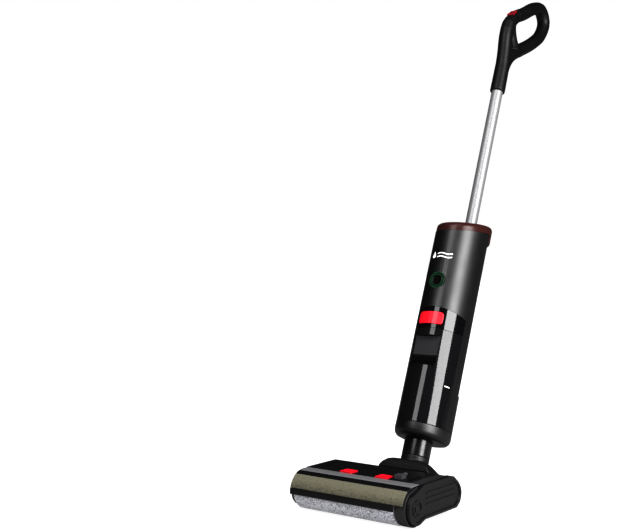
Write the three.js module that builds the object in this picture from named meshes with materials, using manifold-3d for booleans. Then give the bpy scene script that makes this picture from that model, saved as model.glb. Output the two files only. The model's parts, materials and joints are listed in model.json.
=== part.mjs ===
// Wet dry floor scrubber, standing with its body leaned back.
// Millimetres, +Z up, +X to the right, the front of the machine faces -Y.
// The origin is on the floor, at the middle of the rubber squeegee's flat underside.
import * as THREE from 'three';
import { mergeVertices } from 'three/addons/utils/BufferGeometryUtils.js';
import Module from 'manifold-3d';

const wasm = await Module();
wasm.setup();

// ---------------------------------------------------------------- driving dimensions

const GAP = 0.3;                 // between pieces that touch
const WALL = 2.5;                // moulded shells
const OVAL_SIDES = 40;           // facets round the body
const ROUND_SIDES = 24;          // facets round ordinary round pieces
const SMALL_SIDES = 12;          // facets round pins and screws

// Cleaning head. Places along Y are measured from the roller's axis.
const HEAD_HALF_WIDTH = 132.5;
const END_CAP_THICK = 4;
const DRIVE_COVER_THICK = 7;
const ROLLER_R = 34.5;
const ROLLER_CORE_R = 20;
const ROLLER_CLEARANCE = 3;      // roller to the smoked cover and to the bay wall
const DRIVE_SIDE_X = 104;        // inner face of the roller's drive housing
const DRIVE_HOUSING_FRONT_R = ROLLER_R - 1;
const END_CAP_FRONT_R = ROLLER_R - 5;
const COVER_THICK = 2.2;
const HEAD_BOTTOM_Z = 12;
const HEAD_FLOOR_Y = 24;         // where the flat underside starts
const HEAD_TOP_Z = 2 * ROLLER_R + ROLLER_CLEARANCE + 2;
const HEAD_REAR_Y = 157;
const COVER_REAR_Y = 16;         // where the roller cover meets the top cover
const COVER_RIGHT_X = HEAD_HALF_WIDTH - DRIVE_COVER_THICK - 3;
const FRAME_LOW_DEG = 122;       // where the cover's frame ends and its window starts
const COVER_OUT_R = ROLLER_R + ROLLER_CLEARANCE + COVER_THICK;
const SEAM_DEG = 0.5;            // gap between the cover's pieces
const WINDOW_LOW_DEG = 165;      // where the window ends and the lip starts
const LIP_LOW_DEG = 183;
const BAY_R = ROLLER_R + ROLLER_CLEARANCE;
const BAY_LEFT_X = -HEAD_HALF_WIDTH + END_CAP_THICK + GAP;
const BAY_LOW_DEG = 34;          // the bay wall's lower edge, below the roller's axis
const BAY_HIGH_DEG = 57;         // its upper edge, above the axis
const SLEEVE_LEFT = BAY_LEFT_X + 3;
const SLEEVE_RIGHT = DRIVE_SIDE_X - 3;
const LATCH_TAB_X = 40;
const LATCH_TAB_HALF = 13;
const LATCH_TAB_LENGTH = 23;
const LATCH_TAB_FRONT = COVER_REAR_Y + 1.5;
const LATCH_TAB_RISE = 2.5;
const TAB_TRAVEL = 3;
const SCREW_PLACES = [
  ['front_left', -90, 66], ['front_right', 90, 66], ['rear_left', -90, 134], ['rear_right', 90, 134]];
const SCREW_R = 2;
const SCREW_HEAD_R = 3.6;
const SCREW_HEAD = 2;
const DUCT_HALF_WIDTH = 22;
const DUCT_WALL = 1.5;
const DUCT_Z0 = 17;
const DUCT_Z1 = HEAD_TOP_Z - 39;
const DUCT_FRONT_Y = BAY_R + WALL + 1;
const NOZZLES = [-80, -45, -10, 25, 60];
const SPRAY_Z0 = HEAD_TOP_Z - 14;
const SPRAY_HEIGHT = 7;
const SPRAY_Y = Math.sqrt((BAY_R + WALL) ** 2 - (SPRAY_Z0 - ROLLER_R) ** 2) + GAP;
const SQUEEGEE_Y = 50;
const SQUEEGEE_LENGTH = 196;
const SQUEEGEE_THICK = 5;
const CHEEK_X = 60;              // inner face of the rear cheeks
const CHEEK_THICK = 5;

// Roller drive
const MOTOR_Y = 74;
const MOTOR_Z = HEAD_TOP_Z - 30;
const MOTOR_R = 17;
const MOTOR_LENGTH = 62;
const ROLLER_PULLEY_R = ROLLER_R - 13.5;
const MOTOR_PULLEY_R = 8.75;
const BELT_THICK = 2;
const PULLEY_WIDTH = 8;
const PULLEY_X = 112;            // middle of the belt

// Rear wheels
const WHEEL_Y = 255;
const WHEEL_R = 20;
const WHEEL_WIDTH = 16;
const WHEEL_X = 46;
const AXLE_R = 3;

// Leaning part. Its own frame has Z along the body and Y towards the back.
const LEAN_DEG = 21.9;
const BODY_Y = 227.8;
const BODY_Z = 116.2;
const BODY_HALF_WIDTH = 54.75;
const BODY_HALF_DEPTH = 65;
const BASE_BOTTOM = -8;
const BASE_TOP = 19;
const NECK_OFFSET = -10;         // neck axis, ahead of the body's axis
const NECK_R = 28.3;
const NECK_BORE_R = 20;
const RECLINE_Y = 180;           // recline axis, in the head's frame
const RECLINE_Z = 46;
const YOKE_R = 15;
const YOKE_HALF_LENGTH = 57;
const HOOD_HALF_WIDTH = 58.5;
const HOOD_FRONT = 30;           // the hood's reach ahead of the recline axis, above it and behind it
const HOOD_HEIGHT = 30;
const HOOD_BACK = 24;
const SWIVEL_LEVEL = -42;        // where the neck turns on the yoke
const PIVOT_PIN_R = 5;

const TANK_BACK = -10.5;         // flat back of the dirty water tank
const TANK_RIM = 214;            // seam between the cup and its lid
const TANK_TOP_FRONT = 260;      // seam above the lid, at the front
const TANK_TOP_SLOPE_DEG = -12;  // lower towards the back
const RECESS_HALF_WIDTH = 30;
const RECESS_BOTTOM = 136;
const RECESS_TOP = 199;
const RECESS_DEPTH = 22;
const LATCH_HALF_WIDTH = 28;
const LATCH_BOTTOM = 223;
const LATCH_TOP = 249;
const LATCH_TRAVEL = 3;
const LATCH_THICK = 5;
const TANK_INNER_Y = -27;        // middle of the standpipe, the filter and the float
const FLOAT_R = 8;

const TOWER_BACK = 22;           // flat back of the tower between the two tanks
const TOWER_MIDDLE = (TANK_BACK + TOWER_BACK) / 2;
const HOSE_R = 11;
const HOSE_WALL = 1.5;
const REAR_BULGE_TOP = 97;
const SOCKET_HALF_WIDTH = 9;
const SOCKET_HEIGHT = 12;
const SOCKET_LEVEL = BASE_BOTTOM + 10;
const CLEAN_TANK_INSET = 4;
const CLEAN_TANK_TOP = 436;
const CLEAN_BOTTOM = REAR_BULGE_TOP + GAP;
const CLEAN_BACK = BODY_HALF_DEPTH - CLEAN_TANK_INSET;
const FILLER_LEVEL = 335;
const FILLER_HALF_WIDTH = 20;
const FILLER_HALF_HEIGHT = 14;
const FILLER_CAP_THICK = 3.5;
const CAP_FRONT_TOP = 450;
const CAP_THICK = 19;
const CAP_SLOPE_DEG = 16;
const CAP_WALL = 3;
const CAP_ROUND = 10;            // rounding of the cap's upper rim
const CAP_SWELL = 3;             // the cap's oval is drawn out towards the back by this
const LIP_BOTTOM = 442;

const BUTTON_LEVEL = 318;
const BUTTON_R = 11.5;
const BUTTON_TRAVEL = 1.5;
const RING_R = 17.5;
const WELL_DEPTH = 7;            // of the button's well in the front of the body
const STEM_R = 4;
const MOTOR_BAY_Y = -20;

const POLE_R = 12.6;
const POLE_WALL = 1.4;
const POLE_OFFSET = 24;          // pole axis, behind the body's axis
const POLE_SOCKET_DEPTH = 70;
const SOCKET_R = POLE_R + 3.5;
const POLE_BOTTOM = CLEAN_TANK_TOP - POLE_SOCKET_DEPTH + 3 + GAP;
const HANDLE_LEVEL = 812;
const POLE_TOP = HANDLE_LEVEL + 52;
const GRIP_R = 14.4;
const GRIP_WALL = 3;
const THUMB_Y = POLE_OFFSET + 7;
const THUMB_Z = HANDLE_LEVEL + 200;
const THUMB_TILT_DEG = 50;
const THUMB_HALF_LENGTH = 13;
const THUMB_HALF_WIDTH = 7.5;

const rad = THREE.MathUtils.degToRad;

// ---------------------------------------------------------------- shape helpers

// A closed geometry as a boolean solid, without the triangles that have no area.
function solid(geometry) {
  const bare = geometry.clone();
  bare.deleteAttribute('normal');
  bare.deleteAttribute('uv');
  const merged = mergeVertices(bare, 1e-3);
  const index = merged.index.array;
  const faces = [];
  for (let i = 0; i < index.length; i += 3) {
    const [a, b, c] = [index[i], index[i + 1], index[i + 2]];
    if (a !== b && b !== c && c !== a) faces.push(a, b, c);
  }
  const vertProperties = new Float32Array(merged.attributes.position.array);
  const triVerts = new Uint32Array(faces);
  return new wasm.Manifold(new wasm.Mesh({ numProp: 3, vertProperties, triVerts }));
}

function add(first, ...others) {
  return others.reduce((sum, next) => sum.add(next), first);
}

function cut(first, ...others) {
  return others.reduce((rest, next) => rest.subtract(next), first);
}

function common(first, ...others) {
  return others.reduce((rest, next) => rest.intersect(next), first);
}

function box(x0, x1, y0, y1, z0, z1) {
  const geometry = new THREE.BoxGeometry(x1 - x0, y1 - y0, z1 - z0);
  geometry.translate((x0 + x1) / 2, (y0 + y1) / 2, (z0 + z1) / 2);
  return solid(geometry);
}

// Round bar between two levels of Z, on the axis (x, y).
function barZ(x, y, radius, z0, z1, sides = ROUND_SIDES, topRadius = radius) {
  const geometry = new THREE.CylinderGeometry(topRadius, radius, z1 - z0, sides);
  geometry.rotateX(Math.PI / 2);
  geometry.translate(x, y, (z0 + z1) / 2);
  return solid(geometry);
}

// Round bar along X, on the axis (y, z).
function barX(y, z, radius, x0, x1, sides = ROUND_SIDES) {
  const geometry = new THREE.CylinderGeometry(radius, radius, x1 - x0, sides);
  geometry.rotateZ(Math.PI / 2);
  geometry.translate((x0 + x1) / 2, y, z);
  return solid(geometry);
}

// Round bar along Y, on the axis (x, z).
function barY(x, z, radius, y0, y1, sides = ROUND_SIDES) {
  const geometry = new THREE.CylinderGeometry(radius, radius, y1 - y0, sides);
  geometry.translate(x, (y0 + y1) / 2, z);
  return solid(geometry);
}

// Outline in the YZ plane, extruded from x0 to x1.
function plateX(shape, x0, x1, curveSegments = 8) {
  const geometry = new THREE.ExtrudeGeometry(shape, { depth: x1 - x0, bevelEnabled: false, curveSegments });
  const yzx = new THREE.Matrix4().makeBasis(
    new THREE.Vector3(0, 1, 0), new THREE.Vector3(0, 0, 1), new THREE.Vector3(1, 0, 0));
  geometry.applyMatrix4(yzx);
  geometry.translate(x0, 0, 0);
  return solid(geometry);
}

// The body's oval section between two levels, drawn in by an inset.
function oval(inset, z0, z1) {
  const geometry = new THREE.CylinderGeometry(1, 1, z1 - z0, OVAL_SIDES);
  geometry.rotateX(Math.PI / 2);
  geometry.scale(BODY_HALF_WIDTH - inset, BODY_HALF_DEPTH - inset, 1);
  geometry.translate(0, 0, (z0 + z1) / 2);
  return solid(geometry);
}

// A profile of [radius, level] turned round, then pressed to the body's oval.
function ovalLathe(profile, inset) {
  const geometry = new THREE.LatheGeometry(profile.map(([x, z]) => new THREE.Vector2(x, z)), OVAL_SIDES);
  geometry.rotateX(Math.PI / 2);
  geometry.scale((BODY_HALF_WIDTH - inset) / (BODY_HALF_DEPTH - inset), 1, 1);
  return geometry;
}

// Everything below a plane through zFront at the front of the body; a positive slope rises to the back.
function belowSlope(zFront, slopeDeg) {
  const size = 1200;
  const geometry = new THREE.BoxGeometry(size, size, size);
  geometry.translate(0, 0, -size / 2);
  geometry.rotateX(rad(slopeDeg));
  geometry.translate(0, -BODY_HALF_DEPTH, zFront);
  return solid(geometry);
}

function slice(y0, y1) {
  return box(-100, 100, y0, y1, -200, 700);
}

// ---------------------------------------------------------------- scene helpers

const machine = new THREE.Group();
machine.position.y = -SQUEEGEE_Y;
const leaning = new THREE.Group();
leaning.position.set(0, BODY_Y, BODY_Z);
leaning.rotation.x = -rad(LEAN_DEG);
machine.add(leaning);

function finish(color, roughness, metalness = 0, opacity = 1) {
  return { color, roughness, metalness, opacity, transparent: opacity < 1 };
}

const FINISHES = {
  satinBlack: finish(0x121214, 0.38),
  matteBlack: finish(0x1a1a1c, 0.65),
  glossBlack: finish(0x050506, 0.08),
  darkGrey: finish(0x3a3b3d, 0.5),
  greyGloss: finish(0x55565a, 0.22),
  smoked: finish(0x5a543a, 0.08, 0, 0.45),
  clearTank: finish(0x9aa4a8, 0.1, 0, 0.4),
  red: finish(0xb3121a, 0.3),
  aluminium: finish(0xc9cbce, 0.3, 1),
  steel: finish(0x9a9ca0, 0.35, 1),
  rubber: finish(0x161616, 0.85),
  microfibre: finish(0xb9bab8, 0.95),
  board: finish(0x1d5a34, 0.6),
  battery: finish(0x2d4f8c, 0.5),
  led: finish(0x6ee06a, 0.4),
  white: finish(0xdedfe0, 0.5),
};

function piece(parent, name, shape, finishName) {
  const made = shape.getMesh();
  const geometry = new THREE.BufferGeometry();
  geometry.setAttribute('position', new THREE.BufferAttribute(new Float32Array(made.vertProperties), 3));
  geometry.setIndex(new THREE.BufferAttribute(new Uint32Array(made.triVerts), 1));
  geometry.computeVertexNormals();
  const mesh = new THREE.Mesh(geometry, new THREE.MeshStandardMaterial(FINISHES[finishName]));
  mesh.name = name;
  parent.add(mesh);
}

// ---------------------------------------------------------------- cleaning head

// Side view of the head: round at the roller, flat below, sloping down at the back.
function headOutline(frontR, inset = 0) {
  const r = frontR - inset;
  const top = HEAD_TOP_Z - inset;
  const back = HEAD_REAR_Y - inset;
  const bottom = HEAD_BOTTOM_Z + inset;
  const shape = new THREE.Shape();
  shape.absarc(0, ROLLER_R, r, -rad(62), -rad(238), true);
  shape.lineTo(20, top);
  shape.lineTo(back - 47, top);
  shape.quadraticCurveTo(back - 24, top - 3, back - 9, HEAD_TOP_Z - 22);
  shape.quadraticCurveTo(back + 2, HEAD_TOP_Z - 36, back - 9, bottom + 8);
  shape.lineTo(back - 21, bottom);
  shape.lineTo(HEAD_FLOOR_Y + inset / 2, bottom);
  return shape;
}

// A ring sector round the roller's axis. Angles run from the back (0) over the top (90) to the front (180).
function rollerArc(innerR, outerR, fromDeg, toDeg) {
  const shape = new THREE.Shape();
  shape.absarc(0, ROLLER_R, outerR, rad(fromDeg), rad(toDeg), false);
  shape.absarc(0, ROLLER_R, innerR, rad(toDeg), rad(fromDeg), true);
  return shape;
}


function cheekOutline() {
  const ear = YOKE_R - 3;
  const shape = new THREE.Shape();
  shape.moveTo(HEAD_REAR_Y - 30, HEAD_BOTTOM_Z);
  shape.lineTo(WHEEL_Y + 6, HEAD_BOTTOM_Z);
  shape.lineTo(WHEEL_Y + 14, HEAD_BOTTOM_Z + 8);
  shape.lineTo(WHEEL_Y + 6, HEAD_BOTTOM_Z + 18);
  shape.absarc(RECLINE_Y, RECLINE_Z, ear, rad(20), rad(180), false);
  shape.lineTo(HEAD_REAR_Y + 5, HEAD_TOP_Z - 38);
  shape.lineTo(HEAD_REAR_Y - 30, HEAD_TOP_Z - 38);
  return shape;
}

// Floor tray with the roller bay's back wall, and the two cheeks that hold the yoke and the wheels.
function headBase() {
  const left = BAY_LEFT_X + GAP;
  const right = DRIVE_SIDE_X - GAP;
  const bay = plateX(rollerArc(BAY_R, BAY_R + WALL, -BAY_LOW_DEG, BAY_HIGH_DEG), left, right, 14);
  const floor = box(left, right, BAY_R * Math.cos(rad(BAY_LOW_DEG)), HEAD_REAR_Y - 14,
    HEAD_BOTTOM_Z, HEAD_BOTTOM_Z + WALL);
  const back = box(left, right, HEAD_REAR_Y - 17, HEAD_REAR_Y - 14, HEAD_BOTTOM_Z, HEAD_TOP_Z - 38);
  const tail = box(-CHEEK_X - 1, CHEEK_X + 1, HEAD_REAR_Y - 16, WHEEL_Y - WHEEL_R - 6,
    HEAD_BOTTOM_Z, HEAD_BOTTOM_Z + 4);
  const bridge = box(-CHEEK_X - 1, CHEEK_X + 1, WHEEL_Y - WHEEL_R - 10, WHEEL_Y - WHEEL_R - 6,
    HEAD_BOTTOM_Z, HEAD_BOTTOM_Z + 14);
  let base = add(bay, floor, back, tail, bridge);
  for (const side of [-1, 1]) {
    const inner = side * CHEEK_X;
    const outer = side * (CHEEK_X + CHEEK_THICK);
    base = base.add(plateX(cheekOutline(), Math.min(inner, outer), Math.max(inner, outer)));
  }
  const pinHoles = barX(RECLINE_Y, RECLINE_Z, PIVOT_PIN_R + GAP, -90, 90, SMALL_SIDES);
  const axleHole = barX(WHEEL_Y, WHEEL_R, AXLE_R + GAP, -90, 90, SMALL_SIDES);
  const mouth = box(-DUCT_HALF_WIDTH - GAP, DUCT_HALF_WIDTH + GAP, ROLLER_R / 2, DUCT_FRONT_Y + 5,
    DUCT_Z0 - GAP, DUCT_Z1 + GAP);
  const ductExit = box(-DUCT_HALF_WIDTH - GAP, DUCT_HALF_WIDTH + GAP, HEAD_REAR_Y - 20, HEAD_REAR_Y - 10,
    DUCT_Z0 - GAP, DUCT_Z1 + GAP);
  const bladeSlot = box(-SQUEEGEE_LENGTH / 2 - GAP, SQUEEGEE_LENGTH / 2 + GAP,
    SQUEEGEE_Y - SQUEEGEE_THICK / 2 - GAP, SQUEEGEE_Y + SQUEEGEE_THICK / 2 + GAP, 0, HEAD_BOTTOM_Z + 6);
  base = cut(base, pinHoles, axleHole, mouth, ductExit, bladeSlot);
  for (const x of NOZZLES) {
    base = base.subtract(barY(x, SPRAY_Z0 + SPRAY_HEIGHT / 2, 2, 0, SPRAY_Y + 2, SMALL_SIDES));
  }
  for (const [, x, y] of SCREW_PLACES) {
    base = base.subtract(barZ(x, y, SCREW_R + GAP, 0, 30, SMALL_SIDES));
  }
  return base;
}

function baseScrew(x, y) {
  const head = barZ(x, y, SCREW_HEAD_R, HEAD_BOTTOM_Z - SCREW_HEAD - GAP, HEAD_BOTTOM_Z - GAP, SMALL_SIDES);
  const shank = barZ(x, y, SCREW_R, HEAD_BOTTOM_Z - GAP - 0.5, MOTOR_Z - MOTOR_R - 1, SMALL_SIDES);
  const slot = box(x - 2.5, x + 2.5, y - 0.5, y + 0.5, 0, HEAD_BOTTOM_Z - SCREW_HEAD + 0.6);
  return cut(add(head, shank), slot);
}

// Shell over the back of the head, from the roller cover to the rear slope.
function headTopCover() {
  const left = BAY_LEFT_X + GAP;
  const right = DRIVE_SIDE_X - GAP;
  const outside = plateX(headOutline(END_CAP_FRONT_R), left, right);
  const inside = plateX(headOutline(END_CAP_FRONT_R, WALL), left - 5, right + 5);
  const below = box(-200, 200, -100, 300, -50, HEAD_TOP_Z - 37.5);
  const ahead = box(-200, 200, -100, COVER_REAR_Y + GAP, -50, 200);
  let cover = cut(outside, inside, below, ahead);
  const front = LATCH_TAB_FRONT;
  for (const side of [-1, 1]) {
    const x = side * LATCH_TAB_X;
    const pocket = box(x - LATCH_TAB_HALF - GAP, x + LATCH_TAB_HALF + GAP,
      front - GAP, front + LATCH_TAB_LENGTH + TAB_TRAVEL + GAP, HEAD_TOP_Z - 10, HEAD_TOP_Z + 10);
    cover = cover.subtract(pocket);
  }
  for (const level of [0, 1, 2, 3]) {
    const y = 34 + level * 11;
    cover = cover.subtract(box(84, 99, y, y + 5, HEAD_TOP_Z - 10, HEAD_TOP_Z + 10));
  }
  return cover;
}

function coverLatch(side) {
  const x = side * LATCH_TAB_X;
  const front = LATCH_TAB_FRONT;
  const tab = box(x - LATCH_TAB_HALF, x + LATCH_TAB_HALF, front, front + LATCH_TAB_LENGTH,
    HEAD_TOP_Z - 5, HEAD_TOP_Z + LATCH_TAB_RISE);
  const thumbHollow = barX(front + LATCH_TAB_LENGTH * 0.62, HEAD_TOP_Z + LATCH_TAB_RISE + 11.5, 14,
    x - LATCH_TAB_HALF + 4, x + LATCH_TAB_HALF - 4);
  return tab.subtract(thumbHollow);
}

function waterConnector() {
  const foot = box(62, 78, 30, 46, HEAD_TOP_Z + GAP, HEAD_TOP_Z + 8);
  const spout = barY(70, HEAD_TOP_Z + 5, 3.5, 40, 58, SMALL_SIDES);
  const bore = barY(70, HEAD_TOP_Z + 5, 2, 50, 70, SMALL_SIDES);
  return foot.add(spout).subtract(bore);
}

// Left end cap, with a hub that carries the free end of the roller.
function endCapLeft() {
  const outer = -HEAD_HALF_WIDTH;
  const inner = outer + END_CAP_THICK;
  const plate = plateX(headOutline(END_CAP_FRONT_R), outer, inner);
  const hub = barX(0, ROLLER_R, 7, inner - 1, inner + 12);
  const rings = cut(barX(0, ROLLER_R, 15, outer - 1, outer + 1.2), barX(0, ROLLER_R, 12, outer - 2, outer + 2));
  return add(plate, hub).subtract(rings);
}

// Hollow housing of the belt drive, open towards the outside.
function driveHousing() {
  const outer = HEAD_HALF_WIDTH - DRIVE_COVER_THICK;
  const body = plateX(headOutline(DRIVE_HOUSING_FRONT_R), DRIVE_SIDE_X, outer - GAP);
  const inside = plateX(headOutline(DRIVE_HOUSING_FRONT_R, WALL), DRIVE_SIDE_X + WALL, outer + 5);
  const rollerHole = barX(0, ROLLER_R, 10, DRIVE_SIDE_X - 5, outer, ROUND_SIDES);
  const motorHole = barX(MOTOR_Y, MOTOR_Z, 5, DRIVE_SIDE_X - 5, outer, ROUND_SIDES);
  const underCover = barX(0, ROLLER_R, BAY_R - GAP, 0, 200, 48);
  const coverRoom = box(0, 200, -100, COVER_REAR_Y + GAP, ROLLER_R, 200).subtract(underCover);
  return cut(body, inside, rollerHole, motorHole, coverRoom);
}

// Outer plate of the drive side, with a raised rim, long ribs and a ring round the roller's axis.
function driveCover() {
  const inner = HEAD_HALF_WIDTH - DRIVE_COVER_THICK;
  const plate = plateX(headOutline(END_CAP_FRONT_R), inner, HEAD_HALF_WIDTH);
  const field = plateX(headOutline(END_CAP_FRONT_R, 5), HEAD_HALF_WIDTH - 2, HEAD_HALF_WIDTH + 2);
  const rib = (z) => box(inner + 1, HEAD_HALF_WIDTH - 0.8, 30, HEAD_REAR_Y - 26, z, z + 2.5);
  const ringOut = barX(0, ROLLER_R, 15, inner + 1, HEAD_HALF_WIDTH - 0.6);
  const ringIn = barX(0, ROLLER_R, 12, HEAD_HALF_WIDTH - 2.5, HEAD_HALF_WIDTH + 2);
  const hub = barX(0, ROLLER_R, 7, inner + 1, HEAD_HALF_WIDTH - 1);
  return add(cut(plate, field), rib(56), rib(46), rib(36), ringOut).subtract(ringIn).add(hub);
}

// Loop outline round two pulleys in the YZ plane.
function beltOutline(grow) {
  const dy = MOTOR_Y;
  const dz = MOTOR_Z - ROLLER_R;
  const span = Math.hypot(dy, dz);
  const tilt = Math.atan2(dz, dy);
  const spread = Math.acos((ROLLER_PULLEY_R - MOTOR_PULLEY_R) / span);
  const shape = new THREE.Shape();
  shape.absarc(0, ROLLER_R, ROLLER_PULLEY_R + grow, tilt + spread, tilt - spread + Math.PI * 2, false);
  shape.absarc(MOTOR_Y, MOTOR_Z, MOTOR_PULLEY_R + grow, tilt - spread, tilt + spread, false);
  return shape;
}

function driveBelt() {
  const x0 = PULLEY_X - PULLEY_WIDTH / 2 + 1;
  const x1 = PULLEY_X + PULLEY_WIDTH / 2 - 1;
  const outer = plateX(beltOutline(GAP + BELT_THICK), x0, x1, 14);
  return outer.subtract(plateX(beltOutline(GAP), x0 - 1, x1 + 1, 14));
}

function rollerMotor() {
  const end = DRIVE_SIDE_X - 2;
  const can = barX(MOTOR_Y, MOTOR_Z, MOTOR_R, end - MOTOR_LENGTH, end);
  const nose = barX(MOTOR_Y, MOTOR_Z, 6, end - MOTOR_LENGTH - 6, end - 1);
  const flat = box(end - MOTOR_LENGTH - 10, end + 10, MOTOR_Y - 30, MOTOR_Y + 30, MOTOR_Z - 40,
    MOTOR_Z - MOTOR_R + 2);
  return cut(add(can, nose), flat);
}

function motorPulley() {
  const x0 = PULLEY_X - PULLEY_WIDTH / 2;
  const wheel = barX(MOTOR_Y, MOTOR_Z, MOTOR_PULLEY_R, x0, x0 + PULLEY_WIDTH);
  const shaft = barX(MOTOR_Y, MOTOR_Z, 2.5, DRIVE_SIDE_X - 2 + GAP, x0 + 1, SMALL_SIDES);
  return wheel.add(shaft);
}

// Rectangular air duct from the roller bay back to the yoke.
function suctionDuct() {
  const back = RECLINE_Y - YOKE_R - 3;
  const tube = box(-DUCT_HALF_WIDTH, DUCT_HALF_WIDTH, DUCT_FRONT_Y, back, DUCT_Z0, DUCT_Z1);
  const bore = box(-DUCT_HALF_WIDTH + DUCT_WALL, DUCT_HALF_WIDTH - DUCT_WALL, DUCT_FRONT_Y - 5, back + 5,
    DUCT_Z0 + DUCT_WALL, DUCT_Z1 - DUCT_WALL);
  return tube.subtract(bore);
}

// Water bar behind the bay wall; each nozzle looks through a hole in the wall at the roller.
function sprayBar() {
  let bar = box(-90, 70, SPRAY_Y, SPRAY_Y + 9, SPRAY_Z0, SPRAY_Z0 + SPRAY_HEIGHT);
  for (const x of NOZZLES) {
    bar = bar.subtract(barY(x, SPRAY_Z0 + SPRAY_HEIGHT / 2, 1.5, SPRAY_Y - 2, SPRAY_Y + 4, SMALL_SIDES));
  }
  return bar;
}

// Thin blade that wrings the roller, held on the back wall of the bay.
function rollerScraper() {
  const lift = rad(20);
  const geometry = new THREE.BoxGeometry(DRIVE_SIDE_X - BAY_LEFT_X - 12, ROLLER_CLEARANCE - 2 * GAP, 7);
  geometry.rotateX(lift);
  const reach = ROLLER_R + ROLLER_CLEARANCE / 2;
  geometry.translate((DRIVE_SIDE_X + BAY_LEFT_X) / 2, reach * Math.cos(lift), ROLLER_R + reach * Math.sin(lift));
  return solid(geometry);
}

function floorSqueegee() {
  const half = SQUEEGEE_LENGTH / 2;
  const y0 = SQUEEGEE_Y - SQUEEGEE_THICK / 2;
  const y1 = SQUEEGEE_Y + SQUEEGEE_THICK / 2;
  const blade = box(-half, half, y0, y1, 0, HEAD_BOTTOM_Z + 4);
  const bead = box(-half, half, y0 - 2, y1 + 2, HEAD_BOTTOM_Z + WALL + GAP, HEAD_BOTTOM_Z + 5);
  return blade.add(bead);
}

function rearAxle() {
  const reach = CHEEK_X + CHEEK_THICK + 1;
  return barX(WHEEL_Y, WHEEL_R, AXLE_R, -reach, reach, SMALL_SIDES);
}

function wheelHub(side) {
  const x0 = side * WHEEL_X - WHEEL_WIDTH / 2;
  const disc = barX(WHEEL_Y, WHEEL_R, WHEEL_R - 4, x0, x0 + WHEEL_WIDTH);
  const dish = barX(WHEEL_Y, WHEEL_R, WHEEL_R - 7, x0 - 1, x0 + 4);
  const bore = barX(WHEEL_Y, WHEEL_R, AXLE_R + GAP, x0 - 5, x0 + WHEEL_WIDTH + 5, SMALL_SIDES);
  const boss = barX(WHEEL_Y, WHEEL_R, AXLE_R + 3, x0, x0 + 6, SMALL_SIDES);
  return cut(add(cut(disc, dish), boss), bore);
}

function wheelTyre(side) {
  const x0 = side * WHEEL_X - WHEEL_WIDTH / 2;
  const outer = barX(WHEEL_Y, WHEEL_R, WHEEL_R, x0, x0 + WHEEL_WIDTH, 36);
  return outer.subtract(barX(WHEEL_Y, WHEEL_R, WHEEL_R - 4 + GAP, x0 - 1, x0 + WHEEL_WIDTH + 1, 36));
}

// Stub pin through a cheek into the end of the yoke.
function pivotPin(side) {
  const inner = side * (YOKE_HALF_LENGTH - 12);
  const outer = side * (CHEEK_X + CHEEK_THICK + 0.5);
  const shank = barX(RECLINE_Y, RECLINE_Z, PIVOT_PIN_R, Math.min(inner, outer), Math.max(inner, outer), SMALL_SIDES);
  const headEnd = side * (CHEEK_X + CHEEK_THICK + 3);
  const headStart = side * (CHEEK_X + CHEEK_THICK + GAP);
  return shank.add(barX(RECLINE_Y, RECLINE_Z, PIVOT_PIN_R + 3,
    Math.min(headStart, headEnd), Math.max(headStart, headEnd), SMALL_SIDES));
}

// ---------------------------------------------------------------- roller and its cover

function rollerSleeve() {
  const sleeve = barX(0, ROLLER_R, ROLLER_R, SLEEVE_LEFT, SLEEVE_RIGHT, 48);
  return sleeve.subtract(barX(0, ROLLER_R, ROLLER_CORE_R + GAP, SLEEVE_LEFT - 5, SLEEVE_RIGHT + 5, 48));
}

function rollerCore() {
  const tube = barX(0, ROLLER_R, ROLLER_CORE_R, SLEEVE_LEFT, SLEEVE_RIGHT, 36);
  const hollow = barX(0, ROLLER_R, ROLLER_CORE_R - WALL, SLEEVE_LEFT + 16, SLEEVE_RIGHT - 6, 36);
  const bearing = barX(0, ROLLER_R, 7.5, SLEEVE_LEFT - 5, SLEEVE_LEFT + 20);
  const shaft = barX(0, ROLLER_R, 6, SLEEVE_RIGHT - 2, PULLEY_X - PULLEY_WIDTH / 2 - GAP);
  return cut(add(tube, shaft), hollow, bearing);
}

function rollerPulley() {
  const x0 = PULLEY_X - PULLEY_WIDTH / 2;
  const wheel = barX(0, ROLLER_R, ROLLER_PULLEY_R, x0, x0 + PULLEY_WIDTH, 36);
  const groove = cut(barX(0, ROLLER_R, ROLLER_PULLEY_R - 4, x0 - 1, x0 + 2.5), barX(0, ROLLER_R, 9, x0 - 2, x0 + 4));
  return wheel.subtract(groove);
}

// Smoked see-through shell over the roller.
function coverWindow() {
  return plateX(rollerArc(BAY_R, COVER_OUT_R, FRAME_LOW_DEG + SEAM_DEG, WINDOW_LOW_DEG),
    BAY_LEFT_X + GAP, COVER_RIGHT_X, 12);
}

// Dark strip along the lower edge of the cover.
function coverLip() {
  return plateX(rollerArc(BAY_R, COVER_OUT_R, WINDOW_LOW_DEG + SEAM_DEG, LIP_LOW_DEG),
    BAY_LEFT_X + GAP, DRIVE_SIDE_X - GAP, 5);
}

// Grey frame along the top of the cover, which the two latches hold.
function coverFrame() {
  const [under, top] = [ROLLER_R + BAY_R, ROLLER_R + COVER_OUT_R];
  const shape = new THREE.Shape();
  shape.moveTo(COVER_REAR_Y, under);
  shape.lineTo(COVER_REAR_Y, top);
  shape.absarc(0, ROLLER_R, COVER_OUT_R, rad(90), rad(FRAME_LOW_DEG), false);
  shape.absarc(0, ROLLER_R, BAY_R, rad(FRAME_LOW_DEG), rad(90), true);
  return plateX(shape, BAY_LEFT_X + GAP, COVER_RIGHT_X, 8);
}

// ---------------------------------------------------------------- yoke and neck

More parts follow.
